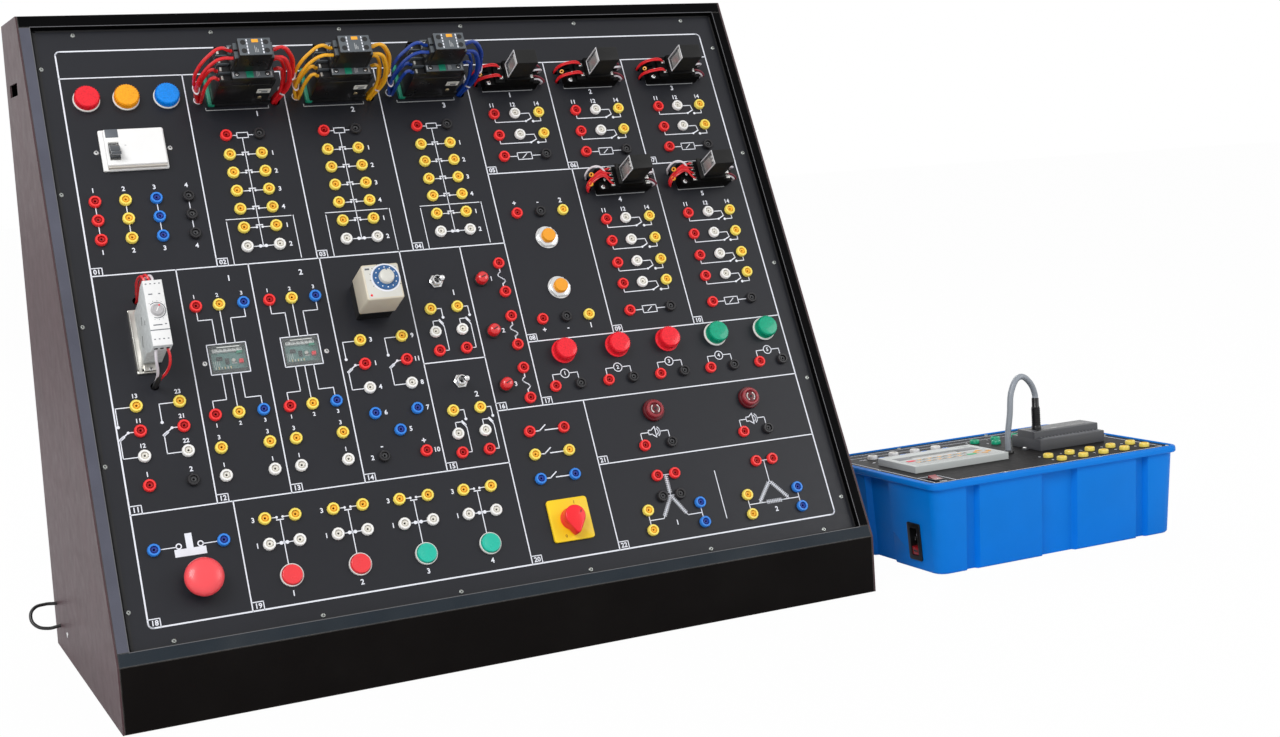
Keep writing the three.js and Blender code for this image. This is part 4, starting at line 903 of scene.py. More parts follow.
def overload_block(us, v, text):
    """Three lines in to a window with the overload board, and three out again."""
    across(us, (0.483, 0.673), "ryb")
    down((us[0], us[2]), (0.729, 0.776), "yw")
    x, y = spot(us[1], v)
    half_width, half_height = OVERLOAD_WINDOW[0] / 2 + 0.6, OVERLOAD_WINDOW[1] / 2 + 0.6
    frame_line(x - half_width, y - half_height, x + half_width, y + half_height, width=1.1)
    for n, u in enumerate(us):
        column = spot(u, 0)[0]
        inner = x + (n - 1) * 10
        for row, sign in ((0.483, 1), (0.673, -1)):
            end = spot(0, row)[1] - sign * SOCKET
            bend = end - sign * (9 if n != 1 else 0)
            edge = y + sign * half_height
            stroke((column, end), (column, bend), (inner, bend), (inner, edge))
            number(str(n + 1), column, end + sign * (SOCKET * 2 + 4.6), 4.4)
    for u in (us[0], us[2]):
        for label, row in (("3", 0.729), ("1", 0.776)):
            column, height = spot(u, row)
            number(label, column, height + SOCKET * 1.7, 4.8)
    number(text, x + 16, spot(0, 0.437)[1], 6.5)


def toggle_block(u, vs, text, title_v):
    down((u,), vs, "ywr")
    x, high = spot(u, vs[0])
    middle, low = spot(u, vs[1])[1], spot(u, vs[2])[1]
    stroke((x + SOCKET, high), (x + 13, high), (x + 13, high - 10.5))
    dot(x + 13, high - 11)
    stroke((x, middle + SOCKET), (x, middle + 13.5), (x + 8, middle + 13.5))
    stroke((x + 8, middle + 13.5), (x + 10.5, middle + 10), width=2.8)
    stroke((x + 10.5, middle + 10), (x + 12, middle + 5.5), width=LINE)
    stroke((x + 12, middle + 5.5), (x + 12, low), (x + SOCKET, low))
    number(text, x, spot(0, title_v)[1], 6.5)


def fuse_block():
    column = 0.567
    rows = (0.453, 0.508, 0.555, 0.609, 0.653, 0.709)
    down((column,), rows, "rrrrrr")
    x = spot(column, 0)[0]
    for n in range(3):
        high = spot(0, rows[n * 2])[1] - SOCKET
        low = spot(0, rows[n * 2 + 1])[1] + SOCKET
        stub = 3.4
        span = high - low - stub * 2
        wave = [(x - 3.6 * math.sin(math.tau * k / 14), high - stub - span * k / 14) for k in range(15)]
        stroke((x, high), *wave, (x, low), width=1.3)
        fuse_x, fuse_y = spot(0.535, (0.4805, 0.5797, 0.6805)[n])
        number(str(n + 1), fuse_x + 13, fuse_y)


def lamp_symbol(left, right, y, high, text):
    """A lamp's circle above its two sockets, with a line down to each."""
    middle = (left + right) / 2
    ring(middle, high, 5.2)
    number(text, middle, high, 4.6)
    for side, column in ((-1, left), (1, right)):
        stroke((middle + side * 5.2, high), (column, high), (column, y + SOCKET))


def lamp_block():
    columns = (0.609, 0.648, 0.693, 0.732, 0.7768, 0.8158, 0.8605, 0.8995, 0.9443, 0.9833)
    across(columns, (0.694,), "rk" * 5)
    for n in range(5):
        left, y = spot(columns[n * 2], 0.694)
        right = spot(columns[n * 2 + 1], 0)[0]
        lamp_symbol(left, right, y, y + 14.5, str(n + 1))


def buzzer_block():
    columns = (0.723, 0.766, 0.886, 0.927)
    across(columns, (0.823,), "rkrk")
    for n in range(2):
        left, y = spot(columns[n * 2], 0.823)
        right = spot(columns[n * 2 + 1], 0)[0]
        middle, high = (left + right) / 2 - 2, y + 15
        horn = [(-6, -2.6), (-6, 2.6), (-2, 2.6), (3, 6.6), (3, -6.6), (-2, -2.6), (-6, -2.6)]
        stroke(*[(middle + a, high + b) for a, b in horn], width=1.1)
        for radius in (4.2, 6.6):
            stroke(*arc(middle + 2.2, high, radius, -52, 52), width=1.1)
        stroke((middle - 6, high), (left - 1, high), (left - 1, y + SOCKET))
        stroke((middle + 9, high), (right, high), (right, y + SOCKET))


def stop_block():
    across((0.021, 0.109), (0.88,), "bb")
    (left, y), (right, _) = spot(0.021, 0.88), spot(0.109, 0.88)
    middle = (left + right) / 2 + 1
    stroke((left + SOCKET, y), (middle - 13.5, y))
    stroke((middle + 13.5, y), (right - SOCKET, y))
    ring(middle - 11, y + 0.5, 2.6, 1.3)
    ring(middle + 11, y + 0.5, 2.6, 1.3)
    art.add(slab(32, 8, INK), print_white, middle, y - 6.6)
    art.add(slab(7, 16, INK * 0.9), print_white, middle, y + 5)


BUTTON_PITCH = 0.09125


def button_block(n):
    shift = n * BUTTON_PITCH
    us, rows = (0.1656 + shift, 0.2056 + shift), (0.8555, 0.898)
    down(us, rows, "yw")
    (left, high), (right, _) = spot(us[0], rows[0]), spot(us[1], rows[0])
    low = spot(0, rows[1])[1]
    button = spot(0, 0.953)[1]
    open_pair(left, right, high, -2.8)
    closed_pair(left, right, low)
    middle = (left + right) / 2
    stroke((middle, high - 2.8), (middle, button + 12))
    number("3", left - 12, high)
    number("1", left - 12, low)
    number(str(n + 1), middle, button - 19, 5.8)


def selector_block():
    rows = (0.77, 0.812, 0.856)
    down((0.554, 0.606), rows, "ryb")
    for v in rows:
        (left, y), (right, _) = spot(0.554, v), spot(0.606, v)
        stroke((left + SOCKET, y), (left + 12.5, y), (left + 20.5, y + 6), width=1.3)
        stroke((left + 19.5, y), (right - SOCKET, y), width=1.3)


def coil_band(start, end, width=3.9, pitch=2.3):
    """A motor winding: a band of short strokes on a line."""
    stroke(start, end, width=0.9)
    (x0, y0), (x1, y1) = start, end
    length = math.hypot(x1 - x0, y1 - y0)
    along = ((x1 - x0) / length, (y1 - y0) / length)
    inset = length * 0.1
    for n in range(int((length - inset * 2) / pitch) + 1):
        x, y = x0 + along[0] * (inset + n * pitch), y0 + along[1] * (inset + n * pitch)
        side = (-along[1] * width / 2, along[0] * width / 2)
        stroke((x - side[0], y - side[1]), (x + side[0], y + side[1]), width=0.9)


def motor_block():
    down((0.73, 0.758, 0.893, 0.92), (0.8805,), "r")
    down((0.73, 0.758), (0.919,), "k")
    down((0.7025, 0.864), (0.94, 0.976), "yy")
    down((0.786, 0.948), (0.94, 0.976), "bb")
    low = spot(0, 0.958)[1]
    for left, right, yellow, blue in ((0.73, 0.758, 0.7025, 0.786), (0.893, 0.92, 0.864, 0.948)):
        top = spot(0, 0.8805)[1]
        middle = (spot(left, 0)[0] + spot(right, 0)[0]) / 2
        stroke((spot(left, 0)[0], top), (spot(right, 0)[0], top))
        for u in (yellow, blue):
            column = spot(u, 0)[0]
            stroke((column, spot(0, 0.94)[1]), (column, spot(0, 0.976)[1]))
        yellow_x, blue_x = spot(yellow, 0)[0], spot(blue, 0)[0]
        if left == 0.73:
            star = spot(0, 0.919)[1]
            stroke((spot(left, 0)[0], star), (spot(right, 0)[0], star))
            coil_band((middle, top), (middle, star))
            coil_band((middle, star), (middle - 15.5, low))
            coil_band((middle, star), (middle + 15.5, low))
            stroke((yellow_x, low), (middle - 15.5, low))
            stroke((middle + 15.5, low), (blue_x, low))
        else:
            apex = top - 25.7
            stroke((middle, top), (middle, apex))
            coil_band((middle, apex), (middle - 20.5, low))
            coil_band((middle, apex), (middle + 20.5, low))
            coil_band((middle - 12, low), (middle + 12, low))
            stroke((yellow_x, low), (blue_x, low))
    number("1", spot(0.744, 0)[0], spot(0, 0.958)[1] - 7, 5.8)
    number("2", spot(0.9065, 0)[0], low - 10, 5.8)


CONTACTOR_HOLES = ((-44, -12), (42.5, -16))
CONTACTOR_SPOTS = [spot(0.2365 + n * CONTACTOR_PITCH, 0.0844) for n in range(3)]
RELAY_SHARES = ((0.65, 0.086), (0.784, 0.086), (0.926, 0.086), (0.792, 0.311), (0.931, 0.311))
RELAY_SPOTS = [spot(*share) for share in RELAY_SHARES]
LEAD_HOLE = 6.2


def panel_print():
    panel_grid()
    power_block()
    for n in range(3):
        contactor_block(n)
        x, y = CONTACTOR_SPOTS[n]
        across_by, up_by = CONTACTOR_HOLES[0]
        bush = spun([(3.2, 0.02), (LEAD_HOLE + 0.8, 0.02), (LEAD_HOLE + 0.8, 0.6), (3.2, 0.9)], 20)
        art.add(bush, black_and_painted_hole_shade, x + across_by, y + up_by)
        rim_line = spun([(4.2, 0.5), (5.1, 0.5), (5.1, 0.96), (4.2, 0.96)], 20)
        art.add(rim_line, print_white, x + across_by, y + up_by)
        low = y - 25
        stroke((x - 37, low + 3), (x - 37, low), (x + 34, low), (x + 34, low + 3), width=0.9, ink=print_dim)
    first, second = (0.157, 0.201), (0.384, 0.428, 0.472, 0.514)
    for n, shift in enumerate((0, 0.134, 0.276)):
        us = (0.6156 + shift, 0.649 + shift, 0.688 + shift)
        relay_block(us, first, (0.6156 + shift, 0.683 + shift), 0.244, str(n + 1), 0.118)
    relay_block((0.754, 0.786, 0.826), second, (0.754, 0.821), 0.567, "4", 0.345)
    relay_block((0.893, 0.9275, 0.9655), second, (0.893, 0.96), 0.567, "5", 0.345)
    for share in RELAY_SHARES:
        relay_bracket(*share)
    sensor_block()
    timer_block()
    flicker_block()
    overload_block((0.127, 0.158, 0.191), 0.578, "1")
    overload_block((0.2264, 0.2574, 0.2904), 0.578, "2")
    toggle_block(0.45, (0.527, 0.57, 0.605), "", 0.5)
    low_toggle = (0.715, 0.757, 0.791)
    toggle_block(0.45, low_toggle, "", 0.69)
    toggle_block(0.49, (0.527, 0.57, 0.605), "1", 0.5)
    toggle_block(0.49, low_toggle, "2", 0.69)
    fuse_block()
    lamp_block()
    buzzer_block()
    stop_block()
    for n in range(4):
        button_block(n)
    selector_block()
    motor_block()
    art.done("panel_print")


def socket_shapes():
    """A socket's body, and the sleeve inside it with its bore, each closed; the sleeve carries the painted shade of
    the well.
    """
    body = spun([(4.3, 0.05), (SOCKET - 0.4, 0.05), (SOCKET - 0.4, 3.8), (5.9, 4.7), (4.3, 4.7)], 12)
    sleeve = spun([(1.3, 0.05), (4.2, 0.05), (4.1, 2.4), (2.9, 2.4), (2.7, 3.6), (1.4, 3.3)], 8)
    return body, sleeve


def place_sockets(name_end, places, frame_place, replaces=()):
    body, sleeve = socket_shapes()
    for shade, spots in places.items():
        if not spots:
            continue
        colour, flange_look, well_painted_light = socket_shades[shade]
        work = Work(frame_place)
        for x, y in spots:
            work.add(body, flange_look, x, y)
            work.add(sleeve, well_painted_light, x, y)
        work.done(f"{colour}_sockets_{name_end}", replaces=replaces)


def cad_finishes():
    """The CAD pieces whose shape is right keep it and get a finish; the side panels and rails get copies of the black
    paint lightened or darkened as painted light and shade.
    """
    looks = {
        side_painted_sheen: ("left_side_panel", "right_side_panel"),
        case_paint: ("back_cover", "base_plate", "front_apron"),
        rail_paint: ("right_rail", "top_cover"),
        bottom_rail_painted_light: ("bottom_rail",),
        left_rail_painted_sheen: ("left_rail",),
    }
    for look, names in looks.items():
        for name in names:
            cad[name].data.materials.clear()
            cad[name].data.materials.append(look)


# Shapes and looks of the fittings
def placed(x, y, z=0.0):
    return FACE @ Matrix.Translation((x, y, z))


SIDEWAYS = Matrix(((0, 0, 1, 0), (1, 0, 0, 0), (0, 1, 0, 0), (0, 0, 0, 1)))

moulded_black = moulded("moulded_black", (0.006, 0.006, 0.0065), 0.3, specular=0.35)
socket_base = moulded("socket_base", (0.0012, 0.0012, 0.0013), 0.5, coat=0.0, specular=0.1)
relay_front = moulded("relay_front", (0.008, 0.008, 0.008), 0.5, coat=0.0, specular=0.25)
device_grey = moulded("device_grey", (0.085, 0.098, 0.11), 0.42)
device_green = moulded("device_green", (0.005, 0.24, 0.14), 0.36)
breaker_white = moulded("breaker_white", (0.92, 0.92, 0.91), 0.4, tone=0.03)
# A darker beige for the breaker cover's underside, as painted shade.
breaker_painted_shade = moulded("breaker_painted_shade", (0.62, 0.58, 0.52), 0.5)
label_grey = moulded("label_grey", (0.1, 0.112, 0.13), 0.5)
label_white = finish("label_white", (0.62, 0.62, 0.58), 0.5)
lever_grey = moulded("lever_grey", (0.07, 0.078, 0.088), 0.24, coat=0.4)
window_amber = moulded("window_amber", (0.95, 0.42, 0.03), 0.25)
brass = plated("brass", (0.62, 0.5, 0.3), 0.3)
lead_looks = {
    "red": moulded("lead_red", (0.72, 0.012, 0.018), 0.3, coat=0.3),
    "dark": moulded("lead_dark_red", (0.2, 0.012, 0.03), 0.34),
    "yellow": moulded("lead_yellow", (0.86, 0.42, 0.015), 0.34, coat=0.2),
    "blue": moulded("lead_blue", (0.006, 0.045, 0.3), 0.3, coat=0.3),
    "white": moulded("lead_white", (0.74, 0.7, 0.74), 0.36),
    "black": moulded("lead_black", (0.014, 0.014, 0.015), 0.4),
}
relay_clear = moulded("relay_clear", (0.5, 0.5, 0.52), 0.08, alpha=0.12, coat=0.3, depth=0.004)
window_clear = moulded("window_clear", (0.5, 0.54, 0.54), 0.1, alpha=0.12, coat=0.5, depth=0.004)
# Bright edges of the clear cover, as a painted highlight.
relay_edge_painted_highlight = moulded("relay_edge_painted_highlight", (0.8, 0.8, 0.82), 0.2, alpha=0.8, coat=0.5)
copper_coil = finish("copper_coil", (0.26, 0.15, 0.13), 0.35, metallic=0.4, tone=0.2, tone_scale=300.0)
timer_side = finish("timer_side", (0.6, 0.63, 0.63), 0.5, tone=0.16, tone_scale=260.0, depth=0.04)
timer_front = moulded("timer_front", (0.82, 0.82, 0.82), 0.4, tone=0.03)
timer_knob = moulded("timer_knob", (0.46, 0.45, 0.46), 0.5)
timer_cream = moulded("timer_cream", (0.66, 0.6, 0.48), 0.42)
dial_blue = moulded("dial_blue", (0.02, 0.1, 0.27), 0.4)
dial_white = moulded("dial_white", (0.66, 0.65, 0.6), 0.4)
zinc = finish("zinc", (0.55, 0.54, 0.5), 0.35, metallic=0.85, tone=0.18, tone_scale=60.0)
LENS = {"coat": 0.3, "specular": 0.25, "tone": 0.2, "tone_scale": 620.0}
lens_looks = {
    "red": moulded("lens_red", (0.88, 0.014, 0.03), 0.2, **LENS),
    "yellow": moulded("lens_yellow", (1.0, 0.4, 0.008), 0.2, **LENS),
    "blue": moulded("lens_blue", (0.0, 0.26, 0.88), 0.2, **LENS),
    "green": moulded("lens_green", (0.0, 0.36, 0.2), 0.2, **LENS),
}
flange_white = moulded("flange_white", (0.8, 0.79, 0.76), 0.36)
buzzer_red = moulded("buzzer_red", (0.11, 0.004, 0.009), 0.32, coat=0.15, specular=0.35)
buzzer_clear = moulded("buzzer_clear", (0.3, 0.02, 0.03), 0.22, coat=0.2)
fuse_red = moulded("fuse_red", (0.72, 0.016, 0.02), 0.2, coat=0.5)
sensor_cap = moulded("sensor_cap", (0.9, 0.36, 0.015), 0.4)
board_green = finish("board_green", (0.085, 0.21, 0.19), 0.4, tone=0.3, tone_scale=160.0, coat=0.3)
board_white = moulded("board_white", (0.66, 0.68, 0.66), 0.4)
button_red = moulded("button_red", (0.85, 0.03, 0.04), 0.28, coat=0.3)
button_green = moulded("button_green", (0.0, 0.5, 0.36), 0.28, coat=0.3)
stop_red = moulded("stop_red", (0.92, 0.07, 0.085), 0.32, coat=0.2)
plate_yellow = moulded("plate_yellow", (0.95, 0.64, 0.005), 0.45, tone=0.04)
knob_red = moulded("knob_red", (0.95, 0.02, 0.03), 0.3, coat=0.15, specular=0.3)
plate_ink = moulded("plate_ink", (0.36, 0.2, 0.01), 0.5)


def screw(work, x, y, z=0.0, radius=2.8, look=None, turn=20):
    """A pan-head screw, its cross recess drawn as dark bars on the head as painted shade."""
    height = radius * 0.55
    head = spun([(0, 0), (radius, 0), (radius, height * 0.3), (radius * 0.7, height * 0.86), (0, height)], 12)
    work.add(head, look or plated_metal, x, y, z)
    for lean in (turn, turn + 90):
        work.add(slab(radius * 1.05, radius * 0.28, 0.12), dark_marks_and_recess_shade, x, y, z + height * 0.93, turned_z(lean))


def flush_screw(work, x, y, radius=3.4, turn=20):
    """A countersunk screw, level with its sheet, with a dark ring round it and its cross recess drawn as dark bars as
    painted shade.
    """
    work.add(disc(radius + 0.5, 0.04, sides=16), dark_marks_and_recess_shade, x, y)
    work.add(disc(radius, 0.07, sides=16), dark_screw, x, y)
    for lean in (turn, turn + 90):
        work.add(slab(radius * 1.05, radius * 0.28, 0.04), dark_marks_and_recess_shade, x, y, 0.06, turned_z(lean))


def disc(radius, height, edge=0.0, sides=20):
    if not edge:
        return spun([(0, 0), (radius, 0), (radius, height), (0, height)], sides)
    return spun([(0, 0), (radius, 0), (radius, height - edge), (radius - edge, height), (0, height)], sides)


def collar(inner, outer, height, edge=0.5, sides=24, low=0.02):
    """A ring with its upper edges taken off."""
    points = [(inner, low), (outer, low), (outer, height - edge), (outer - edge, height), (inner + edge, height)]
    return spun([*points, (inner, height - edge)], sides)


def cut(shape, cutter):
    """The shape without what the cutter's solids fill."""
    carriers = []
    for source in (shape, cutter):
        bmesh.ops.recalc_face_normals(source, faces=source.faces)
        mesh = bpy.data.meshes.new("carrier")
        source.to_mesh(mesh)
        carriers.append(bpy.data.objects.new("carrier", mesh))
        scene.collection.objects.link(carriers[-1])
    taken = carriers[0].modifiers.new("cut", "BOOLEAN")
    taken.solver = "EXACT"
    taken.object = carriers[1]
    made = bpy.data.meshes.new_from_object(carriers[0].evaluated_get(bpy.context.evaluated_depsgraph_get()))
    left = bmesh.new()
    left.from_mesh(made)
    for carrier in carriers:
        bpy.data.meshes.remove(carrier.data)
    bpy.data.meshes.remove(made)
    return left


# The printed sheet with its openings
BUTTON_SHARES = (0.187, 0.953)
BUTTON_SPOTS = [spot(BUTTON_SHARES[0] + n * BUTTON_PITCH, BUTTON_SHARES[1]) for n in range(4)]
STOP_SPOT = spot(0.0725, 0.94)
SELECTOR_SPOT = spot(0.583, 0.934)
TOGGLE_SPOTS = [spot(0.4675, 0.4766), spot(0.4706, 0.664)]
PHASE_SPOTS = [spot(u, 0.094) for u in (0.031, 0.084, 0.139)]
SIGNAL_SPOTS = [spot(u, 0.631) for u in (0.634, 0.719, 0.801, 0.8825, 0.967)]
BUZZER_SPOTS = [spot(u, 0.761) for u in (0.75, 0.909)]
FUSE_SPOTS = [spot(0.535, v) for v in (0.4805, 0.5797, 0.6805)]
SENSOR_SPOTS = [spot(0.652, v) for v in (0.41, 0.509)]
OVERLOAD_SPOTS = [spot(u, 0.578) for u in (0.1588, 0.2582)]
TIMER_SPOT = spot(0.0513, 0.535)
FLICKER_SPOT = spot(0.3655, 0.503)
BREAKER_SPOT = spot(0.0819, 0.1914)
LAMP_BARREL = 10.5
RELAY_HOLES = [(side * 41.5, rise) for side in (-1, 1) for rise in (8, -5)]
TIMER_HOLES = [(1, 47), (4.5, -50.5)]


def printed_panel():
    left, right = RAIL_WIDTH + SEAT_GAP - SIDE_MARGIN, CONSOLE_WIDTH - RAIL_WIDTH - SEAT_GAP - SIDE_MARGIN
    low, high = RAIL_WIDTH + SEAT_GAP - BOTTOM_MARGIN, SLOPE_LENGTH - RAIL_WIDTH - SEAT_GAP - BOTTOM_MARGIN
    openings = Work(FACE)
    rounds = [
        (BUTTON_SPOTS, 11), ([STOP_SPOT], 11.4), ([SELECTOR_SPOT], 4.4), (TOGGLE_SPOTS, 4.3),
        (PHASE_SPOTS + SIGNAL_SPOTS + BUZZER_SPOTS, LAMP_BARREL), (FUSE_SPOTS, 6), (SENSOR_SPOTS, 8.7),
        ([(x + a, y + b) for x, y in CONTACTOR_SPOTS for a, b in CONTACTOR_HOLES], LEAD_HOLE),
        ([(x + a, y + b) for x, y in RELAY_SPOTS for a, b in RELAY_HOLES], 3.2),
        ([(TIMER_SPOT[0] + a, TIMER_SPOT[1] + b) for a, b in TIMER_HOLES], 4.5),
    ]
    for spots, radius in rounds:
        for x, y in spots:
            openings.add(disc(radius, 12, sides=20), panel_black, x, y, -6)
    for x, y in OVERLOAD_SPOTS:
        openings.add(slab(*OVERLOAD_WINDOW, 12, corner=0.8), panel_black, x, y, -6)
    sheet = slab(right - left, high - low, PANEL_THICKNESS)
    bmesh.ops.translate(sheet, vec=((left + right) / 2, (low + high) / 2, -PANEL_THICKNESS), verts=sheet.verts)
    work = Work(FACE)
    work.add(cut(sheet, openings.mesh), panel_black)
    work.done("printed_panel", replaces=["front_panel"])


# Contactors with their plug-on contact blocks and leads
LEFT_LEADS = [
    [(-17, 1, 88), (-21, 1, 88), (-32, 2, 93), (-44, -2, 84), (-54, -7, 60),
     (-54, -9, 38), (-49, -9, 18), (-44, -9, 4), (-44, -9, -14)],
    [(-17, -8, 88), (-21, -8, 88), (-31, -8, 88), (-41, -9, 78), (-50, -13, 58),
     (-52, -15, 38), (-50, -15, 18), (-46, -14, 4), (-46, -14, -14)],
    [(-28, -6, 56), (-32, -6, 56), (-37, -6, 60), (-43, -8, 52), (-47, -10, 38),
     (-46, -10, 20), (-41, -11, 4), (-41, -11, -14)],
    [(-28, -16, 56), (-32, -16, 56), (-37, -16, 60), (-42, -17, 50), (-44, -18, 34),
     (-43, -17, 18), (-42, -15, 4), (-42, -15, -14)],
]
RIGHT_LEADS = [
    [(23, 1, 88), (27, 1, 88), (36, 2, 92), (46, -2, 84), (53, -7, 62),
     (54, -12, 40), (47, -14, 20), (44, -14, 4), (44, -14, -14)],
    [(23, -8, 88), (27, -8, 88), (36, -9, 88), (44, -13, 76), (49, -17, 56),
     (50, -19, 38), (47, -19, 20), (44, -18, 4), (44, -18, -14)],
    [(28, 6, 56), (32, 6, 56), (39, 5, 60), (45, 1, 52), (48, -5, 38),
     (47, -11, 22), (41, -13, 4), (41, -13, -14)],
    [(28, -6, 56), (32, -6, 56), (38, -7, 60), (42, -10, 50), (44, -14, 36),
     (43, -17, 20), (40, -18, 4), (40, -18, -14)],
]
TERMINAL_PITCH = 10.75


def contactor_body(n, x, y):
    work = Work(placed(x, y))
    work.add(slab(9, 43, 6, 0.8, 2.5, foot=True), device_green, -30.5, 0, 0.3)
    work.add(slab(66, 42.4, 11.9, 0.6, 1.4), moulded_black, 2, 0, 0.3)
    work.add(slab(62, 43, 38.3, 0.7, 0.8), moulded_black, 0, 0, 11.7)
    work.add(slab(46, 42, 15.4, 0.5, 0.6), moulded_black, 5, 0, 49.9)
    work.add(slab(45.6, 41.6, 0.8, 0.3, 0.5), device_grey, 5, 0, 65.2)
    for row in range(5):
        wall = (row - 2) * TERMINAL_PITCH
        wall_look = device_grey if 0 < row < 4 else moulded_black
        work.add(slab(13.4, 1.1, 12, 0.25), wall_look, -24.3, wall * 0.985, 49.9)
        work.add(slab(3.4, 1.1, 12, 0.25), wall_look, 29.3, wall * 0.985, 49.9)
    for row in range(4):
        up = (row - 1.5) * TERMINAL_PITCH
        # Dark blocks in the terminal cavities and dark rings under the screws, as painted shade.
        work.add(slab(12.6, 8.8, 8, 0.4), black_and_painted_hole_shade, -24, up, 49.9)
        work.add(slab(2.6, 8.8, 10, 0.3), black_and_painted_hole_shade, 29.4, up, 49.9)
        work.add(slab(2.4, 5, 2, 0.3), zinc, -27.4, up, 57.4)
        for side, hole in ((-1, -12.4), (1, 21.4)):
            work.add(disc(2.9, 0.25, sides=16), black_and_painted_hole_shade, hole, up, 65.95)
            screw(work, hole, up, 65.9, 1.7, turn=35)
            work.add(slab(1.3, 5.2, 0.2), print_dim, hole + side * 4.2, up, 65.95)
    work.add(slab(8, 8.4, 0.9, 0.3, 0.6), device_green, 1.6, -16.4, 65.9)
    for mark in range(3):
        work.add(slab(0.7, 6.8 - mark, 0.2), print_dim, 9.4 + mark * 1.5, -16.2, 65.95)
    work.add(slab(15, 0.4, 9, 0.1), label_white, 22, -21.6, 31)
    work.add(slab(10.4, 0.4, 1, 0.1), label_grey, 21.4, -21.75, 36.6)
    work.add(slab(7, 0.4, 2.6, 0.1), label_grey, 23, -21.75, 32.4)
    work.add(spun([(0, 0), (2.6, 0), (2.4, 0.9), (1.4, 1.3), (0, 1.4)], 14), brass, 20, -21.3, 20, turned_x(90))
    # The brass screw's slot, a dark bar as painted shade.
    work.add(slab(3.2, 0.6, 0.2), dark_marks_and_recess_shade, 20, -22.6, 20, turned_x(90) @ turned_z(35))
    work.done(f"contactor_case_{n}", replaces=[f"contactor_{n}"])


def aux_case(n, x, y):
    work = Work(placed(x + 3, y - 2.5, 66.3))
    work.add(slab(36, 21, 36, 0.6, 0.6), moulded_black)
    work.add(slab(35.8, 20.8, 1.1, 0.4, 0.6), device_grey, 0, 0, 35.9)
    for side in (-1, 1):
        work.add(slab(4.6, 19.6, 27, 0.5, 0.4), moulded_black, side * 19.6, 0, 0)
        for row in (-1, 1):
            up = row * 5.2
            # Dark rings under the screws and dark blocks in the terminal cavities, as painted shade.
            work.add(disc(3, 0.25, sides=16), black_and_painted_hole_shade, side * 12.6, up, 36.9)
            work.add(slab(4.4, 8, 2, 0.3), device_grey, side * 19.4, up, 27)
            work.add(slab(3, 6.6, 7, 0.3), black_and_painted_hole_shade, side * 20.6, up, 19.6)
        for dash in range(5):
            work.add(slab(1.3, 2.6, 0.2), print_white, side * 8.4, (dash - 2) * 3.8, 36.95)
    work.add(slab(7.4, 4, 0.5, 0.2, 0.4), window_amber, 0.6, 6.9, 36.8)
    for mark in range(3):
        work.add(slab(0.7, 8 - mark * 2, 0.2), print_dim, -0.5 + mark * 1.6, -3.4 - mark, 36.95)
    work.done(f"aux_case_{n}", replaces=[f"aux_block_{n}"])


def contactor_leads(n, x, y, shade):
    work = Work(placed(x, y))
    for route in LEFT_LEADS + RIGHT_LEADS:
        work.add(lead(route, 2), lead_looks[shade])
    for route in RIGHT_LEADS[:2]:
        work.add(lead([(a - 1, b + 2.4, c - 4 * (c > 20)) for a, b, c in route[1:]], 1.5), lead_looks[shade])
    for place_x, place_y, height, turn in ((52.6, -10, 52, 20), (46.4, -15, 20, -25), (-51, -12, 30, 15)):
        tie = collar(3.4, 4.6, 1.6, 0.3, 14)
        bmesh.ops.scale(tie, vec=(0.9, 1.7, 1), verts=tie.verts)
        work.add(tie, lead_looks["white"], place_x, place_y, height, turned_x(turn))
    (left, low), (right, lower) = CONTACTOR_HOLES
    loom = [(left, low, -10), (left + 8, low, -16), (0, low, -18), (right - 8, lower, -16), (right, lower, -10)]
    work.add(lead(loom, 4), lead_looks[shade])
    work.done(f"lead_bundle_{n}", replaces=[f"contactor_leads_{n}"])


def contactors():
    for n, (place, shade) in enumerate(zip(CONTACTOR_SPOTS, ("red", "yellow", "blue")), 1):
        contactor_body(n, *place)
        aux_case(n, *place)
        contactor_leads(n, *place, shade)


# Relays on their screw sockets
RELAY_SHIFT = 5
RELAY_LEFT_LEADS = [
    [(-15, 6.6, 21), (-20, 7.2, 23.4), (-29, 8.4, 21.4), (-38, 8.4, 15.4), (-42, 8, 7), (-41.5, 8, -9)],
    [(-15, -6.7, 21), (-20, -6.5, 23.4), (-29, -5.8, 20.6), (-38, -5.4, 14.6), (-42, -5, 7), (-41.5, -5, -9)],
]
RELAY_RIGHT_LEADS = [
    ("white", [(24, 3, 14), (32, 2.5, 18), (39, 4, 16), (43.6, 6.4, 9), (42.4, 8, 0), (41.5, 8, -9)]),
    ("dark", [(24, -3.5, 14), (31, -5, 17), (38.5, -7.4, 15), (43.8, -9, 9), (43.2, -7, 1), (41.5, -5, -9)]),
    ("dark", [(25, 8, 14), (31, 9.4, 17), (38, 10.4, 14), (42.6, 10, 7), (41, 8.4, 0), (41, 7.6, -9)]),
    ("white", [(25, -8.4, 13), (33, -8.2, 15), (40, -9.6, 11), (42.8, -7.6, 3), (41.5, -5.6, -9)]),
]
BUNDLE = [(-30, 22.4), (-38, 19.6), (-45, 13), (-47, 6.4), (-44, 0), (-41.5, -9)]


